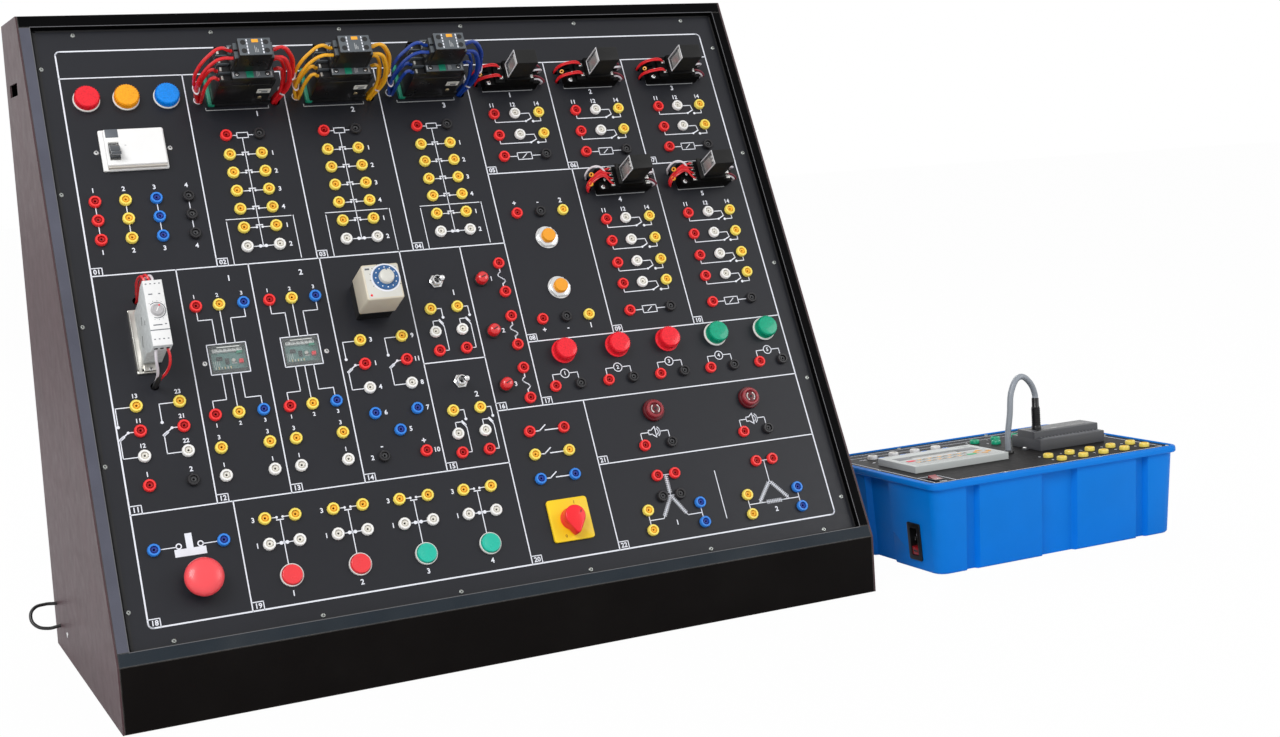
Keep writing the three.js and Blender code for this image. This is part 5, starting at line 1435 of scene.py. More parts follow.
def relay_leads(n, x, y, poles):
    work = Work(placed(x, y))
    if poles == 2:
        for route in RELAY_LEFT_LEADS:
            work.add(lead(route, 1.1), lead_looks["red"])
            twin = [(a, b + 1.8, c + 0.7) for a, b, c in route[1:-1]]
            work.add(lead([route[0], *twin, route[-1]], 0.9), lead_looks["red"])
        work.add(collar(1.4, 2.6, 2.6, 0.3, 12), window_amber, -37.5, 1.6, 12, turned_y(-35))
    else:
        for turn, start in enumerate((10.4, 3.5, -3.4, -10.2)):
            spread = start * 0.32
            falls = (3, 0.6, -4.4, -8.6, -8.6, -5)
            bend = [(a, spread * (1 - k / 6) + fall, b) for k, ((a, b), fall) in enumerate(zip(BUNDLE, falls))]
            work.add(lead([(-18.6, start, 20.5), (-22.5, start * 0.9, 22.8), *bend], 1.1), lead_looks["red"])
            extra = [(a + 1 - turn % 2 * 2.4, b + 2.2 - turn * 0.4, c + 1.1) for a, b, c in bend[:-1]]
            work.add(lead([(-19, start * 0.95, 20), (-24, start * 0.7 + 1, 22.6), *extra, bend[-1]], 0.9), lead_looks["red"])
        arch = [(-26, 4, 22), (-33, 11, 25), (-41, 13.6, 20), (-46.6, 9.6, 10), (-43, 8.4, 0), (-41.5, 8, -9)]
        work.add(lead(arch, 1.3), lead_looks["white"])
        for tie_x, tie_y, height in ((-43, 4, 19), (-43.6, -5.4, 13)):
            work.add(collar(1.6, 2.9, 2.4, 0.3, 12), window_amber, tie_x, tie_y, height, turned_y(-50))
    for shade, route in RELAY_RIGHT_LEADS:
        work.add(lead(route, 1.3), lead_looks[shade])
    work.done(f"relay_lead_set_{n}", replaces=[f"relay_socket_{n}"])


def relay_socket(n, x, y, poles):
    work = Work(placed(x, y, SEAT_GAP))
    work.add(slab(70, 28, 14.7, 0.6, 1), socket_base)
    work.add(slab(50, 27.4, 19.4, 0.5, 0.8), socket_base, 2)
    work.add(slab(32, 27, 24.7, 0.6, 0.8), socket_base, 5)
    pitch, reach = (13.3, 14.6) if poles == 2 else (6.9, 18.6)
    for side in (-1, 1):
        for pole in range(poles):
            up = (pole - (poles - 1) / 2) * pitch
            work.add(slab(5, 4.4, 0.7, 0.2), zinc, side * reach + (side > 0) * 9, up, 19)
            screw(work, side * reach + (side > 0) * 9, up, 19.6, 2.2, turn=20 * pole)
        for row in range(3):
            work.add(slab(6, 0.8, 3.6, 0.2), socket_base, side * 31.8, (row - 1) * 7 + 3.4, 14.2)
    screw(work, -26, -1.4, 15, 2.2, turn=50)
    screw(work, -30.4, -10.8, 14.7, 2.9, turn=10)
    if poles > 2:
        work.add(slab(4, 26.4, 3.4, 0.4, 0.4), relay_front, -11.6, 0, 24.6)
    work.done(f"screw_socket_{n}", replaces=[f"relay_socket_{n}"])


def relay_can(n, x, y):
    """A dark cover whose left end is clear, with the coil and contacts behind it."""
    base = placed(x + RELAY_SHIFT, y - 1, 25.3)
    room = slab(24, 15.6, 30)
    bmesh.ops.translate(room, vec=(-8, 0, 2.4), verts=room.verts)
    shell = Work(base)
    shell.add(cut(slab(26.6, 18.5, 35, 1.1, 0.9), room), relay_front, 0.7)
    shell.done(f"relay_shell_{n}", replaces=[f"relay_{n}"])
    cover = Work(base)
    cover.add(slab(1, 18.2, 34.6, 0.3), relay_clear, -13.3, 0, 0.2)
    # The clear cover's edges are drawn bright as a painted highlight.
    for side in (-1, 1):
        cover.add(slab(0.9, 0.9, 34.6, 0.2), relay_edge_painted_highlight, -13.6, side * 8.8, 0.2)
        cover.add(slab(0.9, 17, 0.9, 0.2), relay_edge_painted_highlight, -13.6, 0, 17 + side * 16.8)
    cover.done(f"relay_cover_{n}", replaces=[f"relay_{n}"])
    works = Work(base)
    coil = [(0, 0), (6.2, 0), (6.2, 1), (5.4, 1.4), (5.4, 15), (6.2, 15.4), (6.2, 16.4), (0, 16.4)]
    works.add(spun(coil, 18), copper_coil, -5, 0, 4)
    works.add(slab(1, 12.4, 20, 0.2), zinc, -11.4, 0, 3.4)
    works.add(slab(13, 12, 1.3, 0.2), zinc, -4, 0, 21.8)
    works.add(slab(0.5, 12.6, 4.6, 0.1), flange_white, -12.2, 0, 26.4)
    if n > 3:
        for up in (-4.6, 0.4, 5):
            works.add(slab(0.6, 1.6, 3, 0.1), relay_front, -12.5, up, 27.2)
    for row in (-1, 0, 1):
        works.add(slab(0.5, 2.4, 21, 0.1), brass, 2, row * 4.6, 3)
    works.done(f"relay_works_{n}", replaces=[f"relay_{n}"])


def relays():
    for n, place in enumerate(RELAY_SPOTS, 1):
        relay_socket(n, *place, 2 if n < 4 else 4)
        relay_leads(n, *place, 2 if n < 4 else 4)
        relay_can(n, *place)


# Supply breaker
def breaker():
    x, y = BREAKER_SPOT
    window = slab(11.4, 21, 12)
    bmesh.ops.translate(window, vec=(-23, -5.25, 0.8), verts=window.verts)
    cover = slab(64, 43.5, 7.5, 1.4, 1.6, rounds=3)
    work = Work(placed(x, y, SEAT_GAP))
    pocket = slab(11.4, 21, 6)
    bmesh.ops.translate(pocket, vec=(-22, -5.25, 2.5), verts=pocket.verts)
    work.add(cut(slab(70, 49, 3, 0.7, 1.4), pocket), breaker_white)
    bmesh.ops.translate(window, vec=(0, 0, -1.3), verts=window.verts)
    work.add(cut(cover, window), breaker_white, 1, 0, 3)
    # A beige strip along the cover's lower edge, as painted shade on its underside.
    work.add(slab(62.4, 1.9, 4.4, 0.3), breaker_painted_shade, 1, -22.4, 3.2)
    work.add(slab(13.6, 10, 0.5, 0.2, 0.6), label_grey, -22.3, 16.4, 10.3)
    work.add(slab(11, 3, 0.6, 0.25), label_white, -22, 6.6, 9.7, turned_x(-24))
    work.add(slab(2, 0.7, 0.15), print_dim, -9.5, 1.6, 10.45)
    work.done("breaker_cover", replaces=["breaker_body"])
    screws = Work(placed(x, y))
    screw(screws, -39.4, -0.6)
    screw(screws, 39.7, 0.8)
    screws.done("breaker_screws")
    lever = Work(placed(x - 22, y - 5.25, 10.3) @ turned_x(32))
    drum = spun([(0, -5.2), (6.9, -5.2), (7.2, -4.9), (7.2, 4.9), (6.9, 5.2), (0, 5.2)], 28)
    lever.add(drum, lever_grey, turn=turned_y(90))
    lever.add(slab(10.4, 3.6, 13.2, 0.9, rounds=3), lever_grey)
    lever.add(slab(9.2, 0.5, 4.6, 0.2), print_dim, 0, -1.75, 8.2)
    lever.done("breaker_toggle", body="breaker_lever", replaces=["breaker_lever"])


# Time relay on its bracket
TIMER_TOP_LEADS = [
    [(-5, 37, 64), (-7, 47, 64), (-9, 51, 54), (-8, 48, 24), (-5, 46, 4), (-5, 46, -10)],
    [(3, 37, 64), (2, 48, 62), (-1, 52, 50), (-3, 49, 24), (-4, 48, 4), (-4, 48, -10)],
]
TIMER_LOW_LEADS = [
    [(-5, -30, 62), (-6, -38, 58), (-3, -48, 40), (-2, -50, 20), (-2, -50, 4), (-2, -50, -10)],
    [(6, -30, 62), (8, -40, 58), (7, -48, 40), (1, -51, 20), (0, -51, 4), (0, -51, -10)],
]
TIMER_SHIFT, TIMER_RISE, TIMER_FRONT = 5.5, 3.5, 73


def time_relay():
    x, y = TIMER_SPOT
    case = Work(placed(x + TIMER_SHIFT, y + TIMER_RISE))
    head, top = TIMER_FRONT - 17, TIMER_FRONT
    upper = [(-36.25, top), (36.25, top), (36.25, head), (29, head - 20)]
    side = prism([*upper, (29, 2), (-29, 2), (-29, head - 20), (-36.25, head)], 20)
    round_over(side, [e for e in side.edges], 0.5, 2)
    case.add(side, timer_side, -10, 0, 0, SIDEWAYS)
    case.add(slab(19.4, 71.8, 0.9, 0.4, 0.6), timer_front, 0, 0, top - 0.6)
    print_face = top + 0.25
    case.add(slab(19.6, 0.9, 0.3), label_grey, 0, -19, top + 0.2)
    for n in range(4):
        for up in (32, -29):
            case.add(slab(1.7, 1, 0.2), label_grey, -6.9 + n * 4.5, up, print_face)
    for across_by, up, width in ((-4, 20.5, 4), (5, 20.5, 2), (-1.6, -13.6, 9), (6.6, -13, 1.8)):
        case.add(slab(width, 1.1, 0.2), label_grey, across_by, up, print_face)
    stroke(*arc(0, 2.5, 8.6, -115, 130, 14), width=0.8, ink=label_grey, work=Moved(case, z=top + 0.2))
    for lean in range(-110, 131, 24):
        tick = arc(0, 2.5, 10.4, lean, lean, 1)[0]
        case.add(disc(0.4, 0.2, sides=8), label_grey, *tick, top + 0.2)
    for up, out, length in ((6, 36, 9), (-12, 24, 12), (-2, 52, 5)):
        case.add(slab(0.3, length, 1, 0.1), dark_marks_and_recess_shade, -10.1, up, out, turned_x(28))
    # Terminal holes on both ends, drawn as dark discs as painted shade.
    for end in (1, -1):
        for n in range(3):
            case.add(disc(2, 0.4, sides=12), black_and_painted_hole_shade, -6 + n * 6, end * 36.1, top - 8, turned_x(-90 * end))
    case.done("timer_case", replaces=["timer_body"])
    bracket = Work(placed(x, y, SEAT_GAP))
    slot = slab(12, 2.6, 6)
    bmesh.ops.translate(slot, vec=(0, -32.5, -1), verts=slot.verts)
    bracket.add(cut(slab(22, 72, 2.7, 0.4, 0.8), slot), zinc)
    bracket.add(slab(1.2, 66, 5, 0.3), zinc, -10.4, 0, 2.5)
    bracket.add(slab(14, 7, 4, 0.8, 0.6), zinc, 2.5, -31.5, 2.6)
    screw(bracket, 2.5, -33, 6.4, 2.2)
    bracket.done("timer_bracket", replaces=["timer_body"])
    leads = Work(placed(x + TIMER_SHIFT, y))
    for route, shade in zip(TIMER_TOP_LEADS + TIMER_LOW_LEADS, ("red", "white", "white", "red")):
        leads.add(lead(route, 1.5), lead_looks[shade])
    leads.add(lead([(0, 37, 64), (-3, 48, 65), (-5, 51, 50), (-5, 48, 20), (-4, 47, -8)], 1.5), lead_looks["red"])
    leads.add(lead([(0, -49.5, 30), (-0.6, -51, 16), (-1, -50.5, -8)], 3), lead_looks["black"])
    leads.done("timer_lead_set", replaces=["timer_body"])
    knob = Work(placed(x + TIMER_SHIFT, y + 6, TIMER_FRONT + 0.45))
    knob.add(spun([(0, 0), (6.5, 0), (6.3, 2.6), (5.6, 3.9), (4.4, 4), (4, 3.4), (0, 3.4)], 24), timer_knob)
    knob.add(disc(0.9, 0.4, sides=10), knob_red, 2.2, 4, 3.6)
    knob.add(slab(1.1, 5.6, 0.5, 0.1), timer_front, 0, 0, 3.3, turned_z(-28))
    knob.done("timer_knob_cap", body="timer_dial", replaces=["timer_dial"])


def flicker_timer():
    x, y = FLICKER_SPOT
    case = Work(placed(x, y))
    case.add(slab(39, 40, 19.7, 0.8, 1.6), moulded_black, 0, 0, 0.3)
    case.add(slab(42, 41.5, 41, 1.6, 2.4, rounds=3, foot=True), timer_cream, 0, 0, 19)
    case.add(slab(38, 37.5, 0.5, 0.2, 1.4), dial_white, 0, 0, 59.6)
    case.add(collar(14.7, 16.6, 0.6, 0.2, 32), print_white, 4, 4, 59.8)
    for mark in range(11):
        lean = -120 + mark * 24
        case.add(slab(0.5, 1.6, 0.12), dark_marks_and_recess_shade, *[a + 4 for a in arc(0, 0, 17.6, lean + 90, lean + 90, 1)[0]], 60.05, turned_z(lean))
    case.add(slab(5, 2, 0.15), label_grey, -15, 15.4, 60.05)
    case.add(disc(1.3, 0.5, sides=12), lens_looks["red"], -15.6, -15.4, 59.9)
    case.done("flicker_timer_case", replaces=["flicker_timer_body"])
    dial = Work(placed(x + 4, y + 4, 60.3))
    dial.add(spun([(0, 0), (14.5, 0), (14.5, 1), (14, 1.5), (0, 1.5)], 32), dial_blue)
    for n in range(12):
        dial.add(disc(0.75, 0.3, sides=8), print_white, *arc(0, 0, 11.8, n * 30, n * 30, 1)[0], 1.4)
    dial.add(spun([(0, 1.4), (8.5, 1.4), (8.5, 4.6), (7.9, 6.6), (6, 7.7), (3, 8), (0, 8)], 28), dial_white)
    dial.add(slab(1.4, 7, 0.4, 0.1), dial_blue, 0, 4, 7.3)
    dial.done("flicker_dial_cap", body="flicker_timer_dial", replaces=["flicker_timer_dial"])


# Lamps, buzzers, fuses and sensors
def lens(radius, height):
    """A lamp's cap: a ridged foot, upright side and slightly domed face."""
    top = height
    return spun([
        (0, 1), (radius + 0.4, 1), (radius + 0.4, 3.4), (radius, 3.8), (radius - 0.3, top - 1.4),
        (radius - 1, top - 0.5), (radius - 2.2, top - 0.3), (radius * 0.5, top - 0.08), (0, top),
    ], 28)


def barrel(work, x, y, radius, depth, look=None):
    work.add(disc(radius, depth + 1, sides=16), look or moulded_black, x, y, -depth)


def lamp_row(spots, shades, radius, height, row, node):
    rings = Work(FACE)
    for (x, y), shade in zip(spots, shades):
        white = shade != "red" or row == "phase"
        flange = flange_white if white else lens_looks["red"]
        rings.add(spun([(0, 0.3), (14.5, 0.3), (14.5, 1.6), (13.6, 2.5), (0, 2.5)], 32), flange, x, y)
        barrel(rings, x, y, LAMP_BARREL - 0.6, 26)
    rings.done(f"{row}_lamp_flanges", replaces=[node])
    for shade in sorted(set(shades)):
        work = Work(FACE)
        for (x, y), own in zip(spots, shades):
            if own == shade:
                work.add(lens(radius, height), lens_looks[shade], x, y, 1)
                for rib in range(30):
                    foot = arc(x, y, radius + 0.1, rib * 12, rib * 12, 1)[0]
                    work.add(slab(0.7, 0.9, height - 4), lens_looks[shade], *foot, 3, turned_z(rib * 12))
        work.done(f"{shade}_{row}_lamps", replaces=[node])


def lamps():
    lamp_row(PHASE_SPOTS, ("red", "yellow", "blue"), 13.1, 10.5, "phase", "phase_lamps")
    lamp_row(SIGNAL_SPOTS, ("red", "red", "red", "green", "green"), 12.6, 13.5, "signal", "signal_lamps")


def buzzers():
    work = Work(FACE)
    for x, y in BUZZER_SPOTS:
        barrel(work, x, y, LAMP_BARREL - 0.6, 26)
        work.add(spun([(0, 0.3), (13, 0.3), (13, 4.2), (12.3, 5), (0, 5)], 32), buzzer_red, x, y)
        for n in range(24):
            rib = arc(x, y, 12.7, n * 15, n * 15, 1)[0]
            work.add(slab(1.1, 1.1, 4, 0.2), buzzer_red, *rib, 0.4, turned_z(n * 15))
        work.add(collar(7.2, 10.5, 10, 1.2, 28, low=4.5), buzzer_clear, x, y)
        work.add(spun([(0, 4.5), (7.4, 4.5), (7.4, 7.6), (5, 8.4), (0, 8.4)], 24), buzzer_red, x, y)
        # The sound hole, a dark disc as painted shade.
        work.add(disc(1.6, 0.6, sides=14), black_and_painted_hole_shade, x, y, 8.1)
        for start in (130, -50):
            curve = arc(0, 0, 5, start, start + 100, 6)
            stroke(*curve, width=1.3, ink=flange_white, work=Moved(work, x, y, 8.3))
    work.done("buzzer_caps", replaces=["buzzers"])


def fuse_holders():
    work = Work(FACE)
    for x, y in FUSE_SPOTS:
        barrel(work, x, y, 5.7, 36)
        work.add(spun([(0, 0.3), (8.5, 0.3), (8.5, 1.4), (8, 2), (0, 2)], 24), moulded_black, x, y)
        work.add(spun([(0, 1.9), (7, 1.9), (7, 8), (6.4, 10), (4.6, 11.5), (0, 12)], 24), fuse_red, x, y)
        # The cap's slot, a dark bar as painted shade.
        work.add(slab(6, 1.2, 0.3, 0.1), dark_marks_and_recess_shade, x, y, 11.8, turned_z(25))
    work.done("fuse_caps", replaces=["fuse_holders"])


def proximity_sensors():
    work = Work(FACE)
    for x, y in SENSOR_SPOTS:
        work.add(spun([(0, -40), (8.4, -40), (8.4, 3), (0, 3)], 20), plated_metal, x, y)
        work.add(collar(8.6, 14.2, 1.1, 0.3, 28, low=0.3), plated_metal, x, y)
        work.add(spun([(8.5, 1), (12.6, 1), (13.5, 1.6), (13.5, 3.6), (12.6, 4.2), (8.5, 4.2)], 6), plated_metal, x, y)
        work.add(spun([(0, 2), (8.4, 2), (8.4, 9), (7.8, 9.8), (0, 10)], 28), sensor_cap, x, y)
        work.add(disc(1, 0.3, sides=10), sensor_cap, x + 3, y + 2, 9.8)
    work.done("sensor_heads", replaces=["proximity_sensors"])


def overload_boards():
    """Each board with its parts, a dark mask round it and the clear window in the panel."""
    work = Work(FACE)
    top = -7
    for n, (x, y) in enumerate(OVERLOAD_SPOTS):
        work.add(slab(54, 46, 1.6, 0.2), board_green, x, y, top - 1.6)
        for side_x in (-1, 1):
            for side_y in (-1, 1):
                work.add(slab(4, 4, 4, 0.3), zinc, x + side_x * 25, y + side_y * 21, top - 0.2)
        work.add(slab(32, 4, 3.4, 0.4), board_white, x, y + 11.3, top)
        for k in range(7):
            screw(work, x - 13.8 + k * 4.6, y + 11.3, top + 3.3, 1.2, turn=30 * k)
        work.add(slab(6, 4, 2, 0.3), moulded_black, x - 9, y + 2.5, top)
        work.add(slab(4, 6.6, 1.6, 0.3), moulded_black, x - 1, y - 1, top)
        work.add(slab(6, 4, 3, 0.3), device_green, x + 13, y + 8.6, top)
        work.add(slab(4.4, 4.4, 3.6, 0.4), lens_looks["red"], x + 13.6, y - 2.4, top)
        work.add(disc(2.2, 3.4, 0.5, 16), zinc, x + 5.4, y - 1, top)
        work.add(slab(5, 1, 0.2), board_white, x + 6.6, y - 3.4, top)
        for k in range(6):
            work.add(slab(1.2, 2.6, 0.8, 0.2), brass if k % 2 else board_white, x - 14 + k * 3.2, y - 8, top)
        for k in range(4):
            work.add(slab(0.5, 7, 0.1), board_white, x - 15.5 + k * 2, y - 3, top)
        screw(work, x + (26.5 if n else -26.5), y - 3.4, 0)
    work.done("overload_boards", replaces=["overload_relays"])
    masks = Work(FACE)
    width, height = OVERLOAD_WINDOW
    for x, y in OVERLOAD_SPOTS:
        pane = slab(width - 4, height - 8, 6)
        bmesh.ops.translate(pane, vec=(0, 0.9, -2), verts=pane.verts)
        masks.add(cut(slab(width - 0.4, height - 0.4, 0.6, 0.1), pane), black_and_painted_hole_shade, x, y, -2)
        masks.add(slab(width - 0.4, height - 0.4, 0.5, 0.1), window_clear, x, y, -0.9)
        masks.add(slab(width * 0.6, 1.1, 0.08), board_white, x + 1, y + 13.4, -0.42)
    masks.done("overload_windows", replaces=["overload_relays"])


# Operating fittings
def push_buttons():
    bezels = Work(FACE)
    for n, (x, y) in enumerate(BUTTON_SPOTS, 1):
        look, slot = (button_red, "button_red") if n < 3 else (button_green, "button_green")
        bezels.add(collar(11, 12.25, 3, 0.4, 32), flange_white, x, y)
        cap = Work(placed(x, y))
        face = [(0, 5.4), (7.2, 5.6), (9.4, 6), (10.2, 5.7), (10.6, 4.9)]
        cap.add(spun([*face, (10.6, -14), (5, -14), (5, -30), (0, -30)], 32), look)
        cap.done(f"button_cap_{n}", body=f"push_button_{n}", replaces=[f"push_button_{n}"])
    bezels.done("button_bezels", replaces=["front_panel"])


def emergency_stop():
    x, y = STOP_SPOT
    ring_work = Work(placed(x, y))
    ring_work.add(collar(11.4, 15, 6, 0.8, 32), moulded_black)
    ring_work.done("stop_collar", replaces=["front_panel"])
    shank = Work(placed(x, y))
    shank.add(spun([(0, -24), (11, -24), (11, 11.6), (10.6, 12), (5, 12), (5, 21), (0, 21)], 32), device_grey)
    shank.done("stop_shank", body="emergency_stop_shank", replaces=["emergency_stop_shank"])
    head = Work(placed(x, y, 12.3))
    dome = [(12, 0), (15, 0.6), (18, 2.6), (19.7, 5.4), (20, 7.6), (19.8, 9.8), (18.6, 12.4), (16.4, 14.4), (13, 15.8)]
    head.add(spun([(0, 9.4), (5.4, 9.4), (5.4, 0), *dome, (8, 16.7), (0, 17)], 40), stop_red)
    head.done("stop_head", body="emergency_stop_head", replaces=["emergency_stop_head"])


def teardrop(body, nose, reach, steps=10):
    """A round outline drawn out to a narrow nose pointing down."""
    lean = math.degrees(math.acos((body - nose) / (reach - nose)))
    return [*arc(0, 0, body, -90 + lean, 270 - lean, steps * 2), *arc(0, -(reach - nose), nose, 270 - lean, 270 + lean, 4)]


def selector_switch():
    x, y = SELECTOR_SPOT
    plate = Work(placed(x, y, SEAT_GAP))
    bore = disc(4.4, 9, sides=24)
    bmesh.ops.translate(bore, vec=(0, 0, -3), verts=bore.verts)
    plate.add(cut(slab(48.5, 48.5, 3, 0.6, 3.4), bore), plate_yellow)
    for text, mark_x, mark_y in (("0", -9.5, -18.5), ("1", 8.2, 18.5)):
        plate.add(numeral(text, 3.6, INK), plate_ink, mark_x, mark_y, 3.06)
    plate.done("selector_backplate", replaces=["selector_plate"])
    knob = Work(placed(x, y, 3.6))
    knob.add(spun([(0, -22), (4, -22), (4, 0), (12.4, 0), (12.4, 3.4), (11.8, 4), (0, 4)], 32), knob_red)
    grip = prism(teardrop(12, 3, 20), 13)
    round_over(grip, flat_at(grip, 13), 1.6, 3)
    knob.add(grip, knob_red, 0, 0, 3.8)
    knob.add(slab(0.9, 3.4, 0.3, 0.1), dark_marks_and_recess_shade, 7, 3.4, 16.7, turned_z(-25))
    knob.done("selector_handle", body="selector_knob", replaces=["selector_knob"])


def toggle_switches():
    bushes = Work(FACE)
    for n, (x, y) in enumerate(TOGGLE_SPOTS, 1):
        bushes.add(spun([(4.3, 0.02), (7.8, 0.02), (8.5, 0.5), (8.5, 2), (7.8, 2.5), (4.3, 2.5)], 6), plated_metal, x, y)
        thread = [(4.3, 2.4), (6, 2.4), (6, 3.4), (5.7, 3.8), (6, 4.2), (5.7, 4.7), (6, 5.2), (5.7, 5.7), (6, 6.2)]
        bushes.add(spun([*thread, (6, 7.2), (5.2, 8), (4.3, 8)], 24), plated_metal, x, y)
        lever = Work(placed(x, y, 3) @ turned_x(13))
        bulb = [(2, 4.4), (1.6, 9), (2, 13.5), (2.9, 17.4), (3.3, 19.4), (2.9, 21), (1.6, 21.9), (0, 22)]
        lever.add(spun([(0, -3.6), (2.6, -2.5), (3.6, 0), (2.8, 2.4), *bulb], 20), plated_metal)
        lever.done(f"toggle_bat_{n}", body=f"toggle_lever_{n}", replaces=[f"toggle_lever_{n}"])
    bushes.done("toggle_bushes", replaces=["front_panel"])


def edge_lines():
    """A painted shadow along the foot of the rails on the panel, wider on the left side, and a painted highlight along
    the rails' inner top edge.
    """
    painted_lines = Work(FACE)
    inset = RAIL_WIDTH + SEAT_GAP + 1.1
    left, right = inset - SIDE_MARGIN, CONSOLE_WIDTH - inset - SIDE_MARGIN
    low, high = inset - BOTTOM_MARGIN, SLOPE_LENGTH - inset - BOTTOM_MARGIN
    frame_line(left, low, right, high, width=2.2, work=painted_lines, ink=black_and_painted_hole_shade)
    stroke((left + 1.9, low), (left + 1.9, high), width=5, work=painted_lines, ink=black_and_painted_hole_shade)
    highlight_layer = Moved(painted_lines, z=PANEL_RECESS - 0.06)
    lift = RAIL_WIDTH - 0.4
    left, right = lift - SIDE_MARGIN, CONSOLE_WIDTH - lift - SIDE_MARGIN
    low, high = lift - BOTTOM_MARGIN, SLOPE_LENGTH - lift - BOTTOM_MARGIN
    frame_line(left, low, right, high, width=0.7, work=highlight_layer, ink=rail_edge_painted_highlight)
    painted_lines.done("panel_edge_shadow_and_highlight")


PANEL_SCREWS = [
    *[(u, FIELD_HEIGHT + 20) for u in (22, 174, 325, 477, 628, 779)],
    *[(u, -16.4) for u in (22, 174, 325, 477, 628, 779)],
    *[(side, FIELD_HEIGHT * (1 - v / 640)) for side in (-17, FIELD_WIDTH + 14.6) for v in (21, 170, 320, 471, 621)],
]
BACK_SCREWS = [
    *[(CONSOLE_WIDTH * share, height) for share in (0.02, 0.212, 0.404, 0.596, 0.788, 0.98) for height in (14, 686)],
    *[(CONSOLE_WIDTH * share, height) for share in (0.02, 0.98) for height in (182, 350, 518)],
]
SIDE_LEAD = [
    (14, -20, 52), (0, -20, 52), (-14, -20, 53), (-26, -24, 51), (-31, -29, 43), (-27, -35, 33), (-14, -38, 28),
    (0, -38, 29), (14, -38, 29),
]


def small_fittings():
    screws = Work(FACE)
    for n, (x, y) in enumerate(PANEL_SCREWS):
        screw(screws, x, y, 0, 2.6, look=dark_screw, turn=n * 37)
    screws.done("panel_screws")
    side = Work(CASE @ Matrix.Translation((0, 336, 30)) @ turned_y(-90))
    screw(side, 0, 0, 0, 3.4)
    side.done("side_screw")
    back = Work(CASE @ Matrix.Translation((0, CONSOLE_DEPTH, 0)) @ turned_x(-90))
    for n, (x, height) in enumerate(BACK_SCREWS):
        flush_screw(back, x, -height, turn=n * 41)
    back.done("back_screws")
    loop = Work(CASE @ Matrix.Translation((0, CONSOLE_DEPTH, 0)))
    loop.add(lead(SIDE_LEAD, 2, 3), lead_looks["black"])
    loop.done("side_lead", replaces=["side_lead_loop"])


# Controller unit: the blue tub with its rolled rim
UNIT_FACE = UNIT @ Matrix.Translation((0, 0, UNIT_TOP))
PANEL_WIDTH, PANEL_DEPTH = UNIT_WIDTH - 12, UNIT_DEPTH - 12
TUB_TAPER = 7
TUB_CORNER = 16
BAND_DEPTH = 8
BAND_SLANT = 3.5
NARROW_BAND, WIDE_BAND = 20, 56
OPERATOR_SPOT = ((0.271 - 0.5) * UNIT_WIDTH, (0.48 - 0.5) * UNIT_DEPTH)
MODULE_SPOT = ((0.757 - 0.5) * UNIT_WIDTH, (0.49 - 0.5) * UNIT_DEPTH)
PLUG_SPOT = (MODULE_SPOT[0] - 0.34 * 107, MODULE_SPOT[1] - 0.02 * 62)
GROMMET_SPOT = ((0.526 - 0.5) * UNIT_WIDTH, (0.454 - 0.5) * UNIT_DEPTH)
ROCKER_SPOT = (28 - UNIT_WIDTH / 2, (0.134 - 0.5) * UNIT_DEPTH)

case_blue = moulded("case_blue", (0.0, 0.2, 0.72), 0.46, coat=0.0, specular=0.14, tone=0.05, tone_scale=16.0, depth=0.04, grain=1300.0)
unit_black = finish("unit_black", (0.006, 0.005, 0.005), 0.5, depth=0.03, grain=2600.0, tone=0.14, specular=0.08)
operator_grey = moulded("operator_grey", (0.56, 0.59, 0.58), 0.42, tone=0.03)
membrane = moulded("membrane", (0.47, 0.48, 0.47), 0.46, tone=0.02)
band_grey = moulded("band_grey", (0.13, 0.135, 0.15), 0.4)
display_glass = moulded("display_glass", (0.06, 0.047, 0.04), 0.12, coat=0.8, tone=0.2, tone_scale=40.0)
key_orange = moulded("key_orange", (0.82, 0.36, 0.015), 0.45)
key_red = moulded("key_red", (0.8, 0.03, 0.06), 0.45)
key_green = moulded("key_green", (0.0, 0.42, 0.17), 0.45)
key_shade = moulded("key_shade", (0.12, 0.12, 0.125), 0.45)
module_grey = moulded("module_grey", (0.062, 0.064, 0.072), 0.44)
module_label = moulded("module_label", (0.012, 0.011, 0.012), 0.3)
rocker_red = moulded("rocker_red", (0.3, 0.01, 0.016), 0.22, coat=0.5)
lead_grey = moulded("lead_grey", (0.3, 0.33, 0.37), 0.4, tone=0.04)


INLET_LEAN = math.degrees(math.atan(TUB_TAPER / 116))
INLET_WALL = UNIT_WIDTH / 2 - 4 - TUB_TAPER * (1 - 36 / 116)
INLET_PLACE = (
    Matrix.Translation((-INLET_WALL, 58 - UNIT_DEPTH / 2, 36)) @ turned_y(-INLET_LEAN) @ turned_z(180) @ turned_y(90)
)


def unit_spot(x, y):
    return (x - 0.5) * UNIT_WIDTH, (y - 0.5) * UNIT_DEPTH


def rounded_loop(shape, inset, z):
    """The edges of a rounded rectangle, as wide and deep as the unit less the inset."""
    radius = max(TUB_CORNER - inset, 2)
    across_by, up_by = UNIT_WIDTH / 2 - inset - radius, UNIT_DEPTH / 2 - inset - radius
    corners = ((across_by, up_by, 0), (-across_by, up_by, 90), (-across_by, -up_by, 180), (across_by, -up_by, 270))
    points = [point for x, y, start in corners for point in arc(x, y, radius, start, start + 90, 8)]
    verts = [shape.verts.new((x, y, z)) for x, y in points]
    return [shape.edges.new(pair) for pair in zip(verts, verts[1:] + verts[:1])]


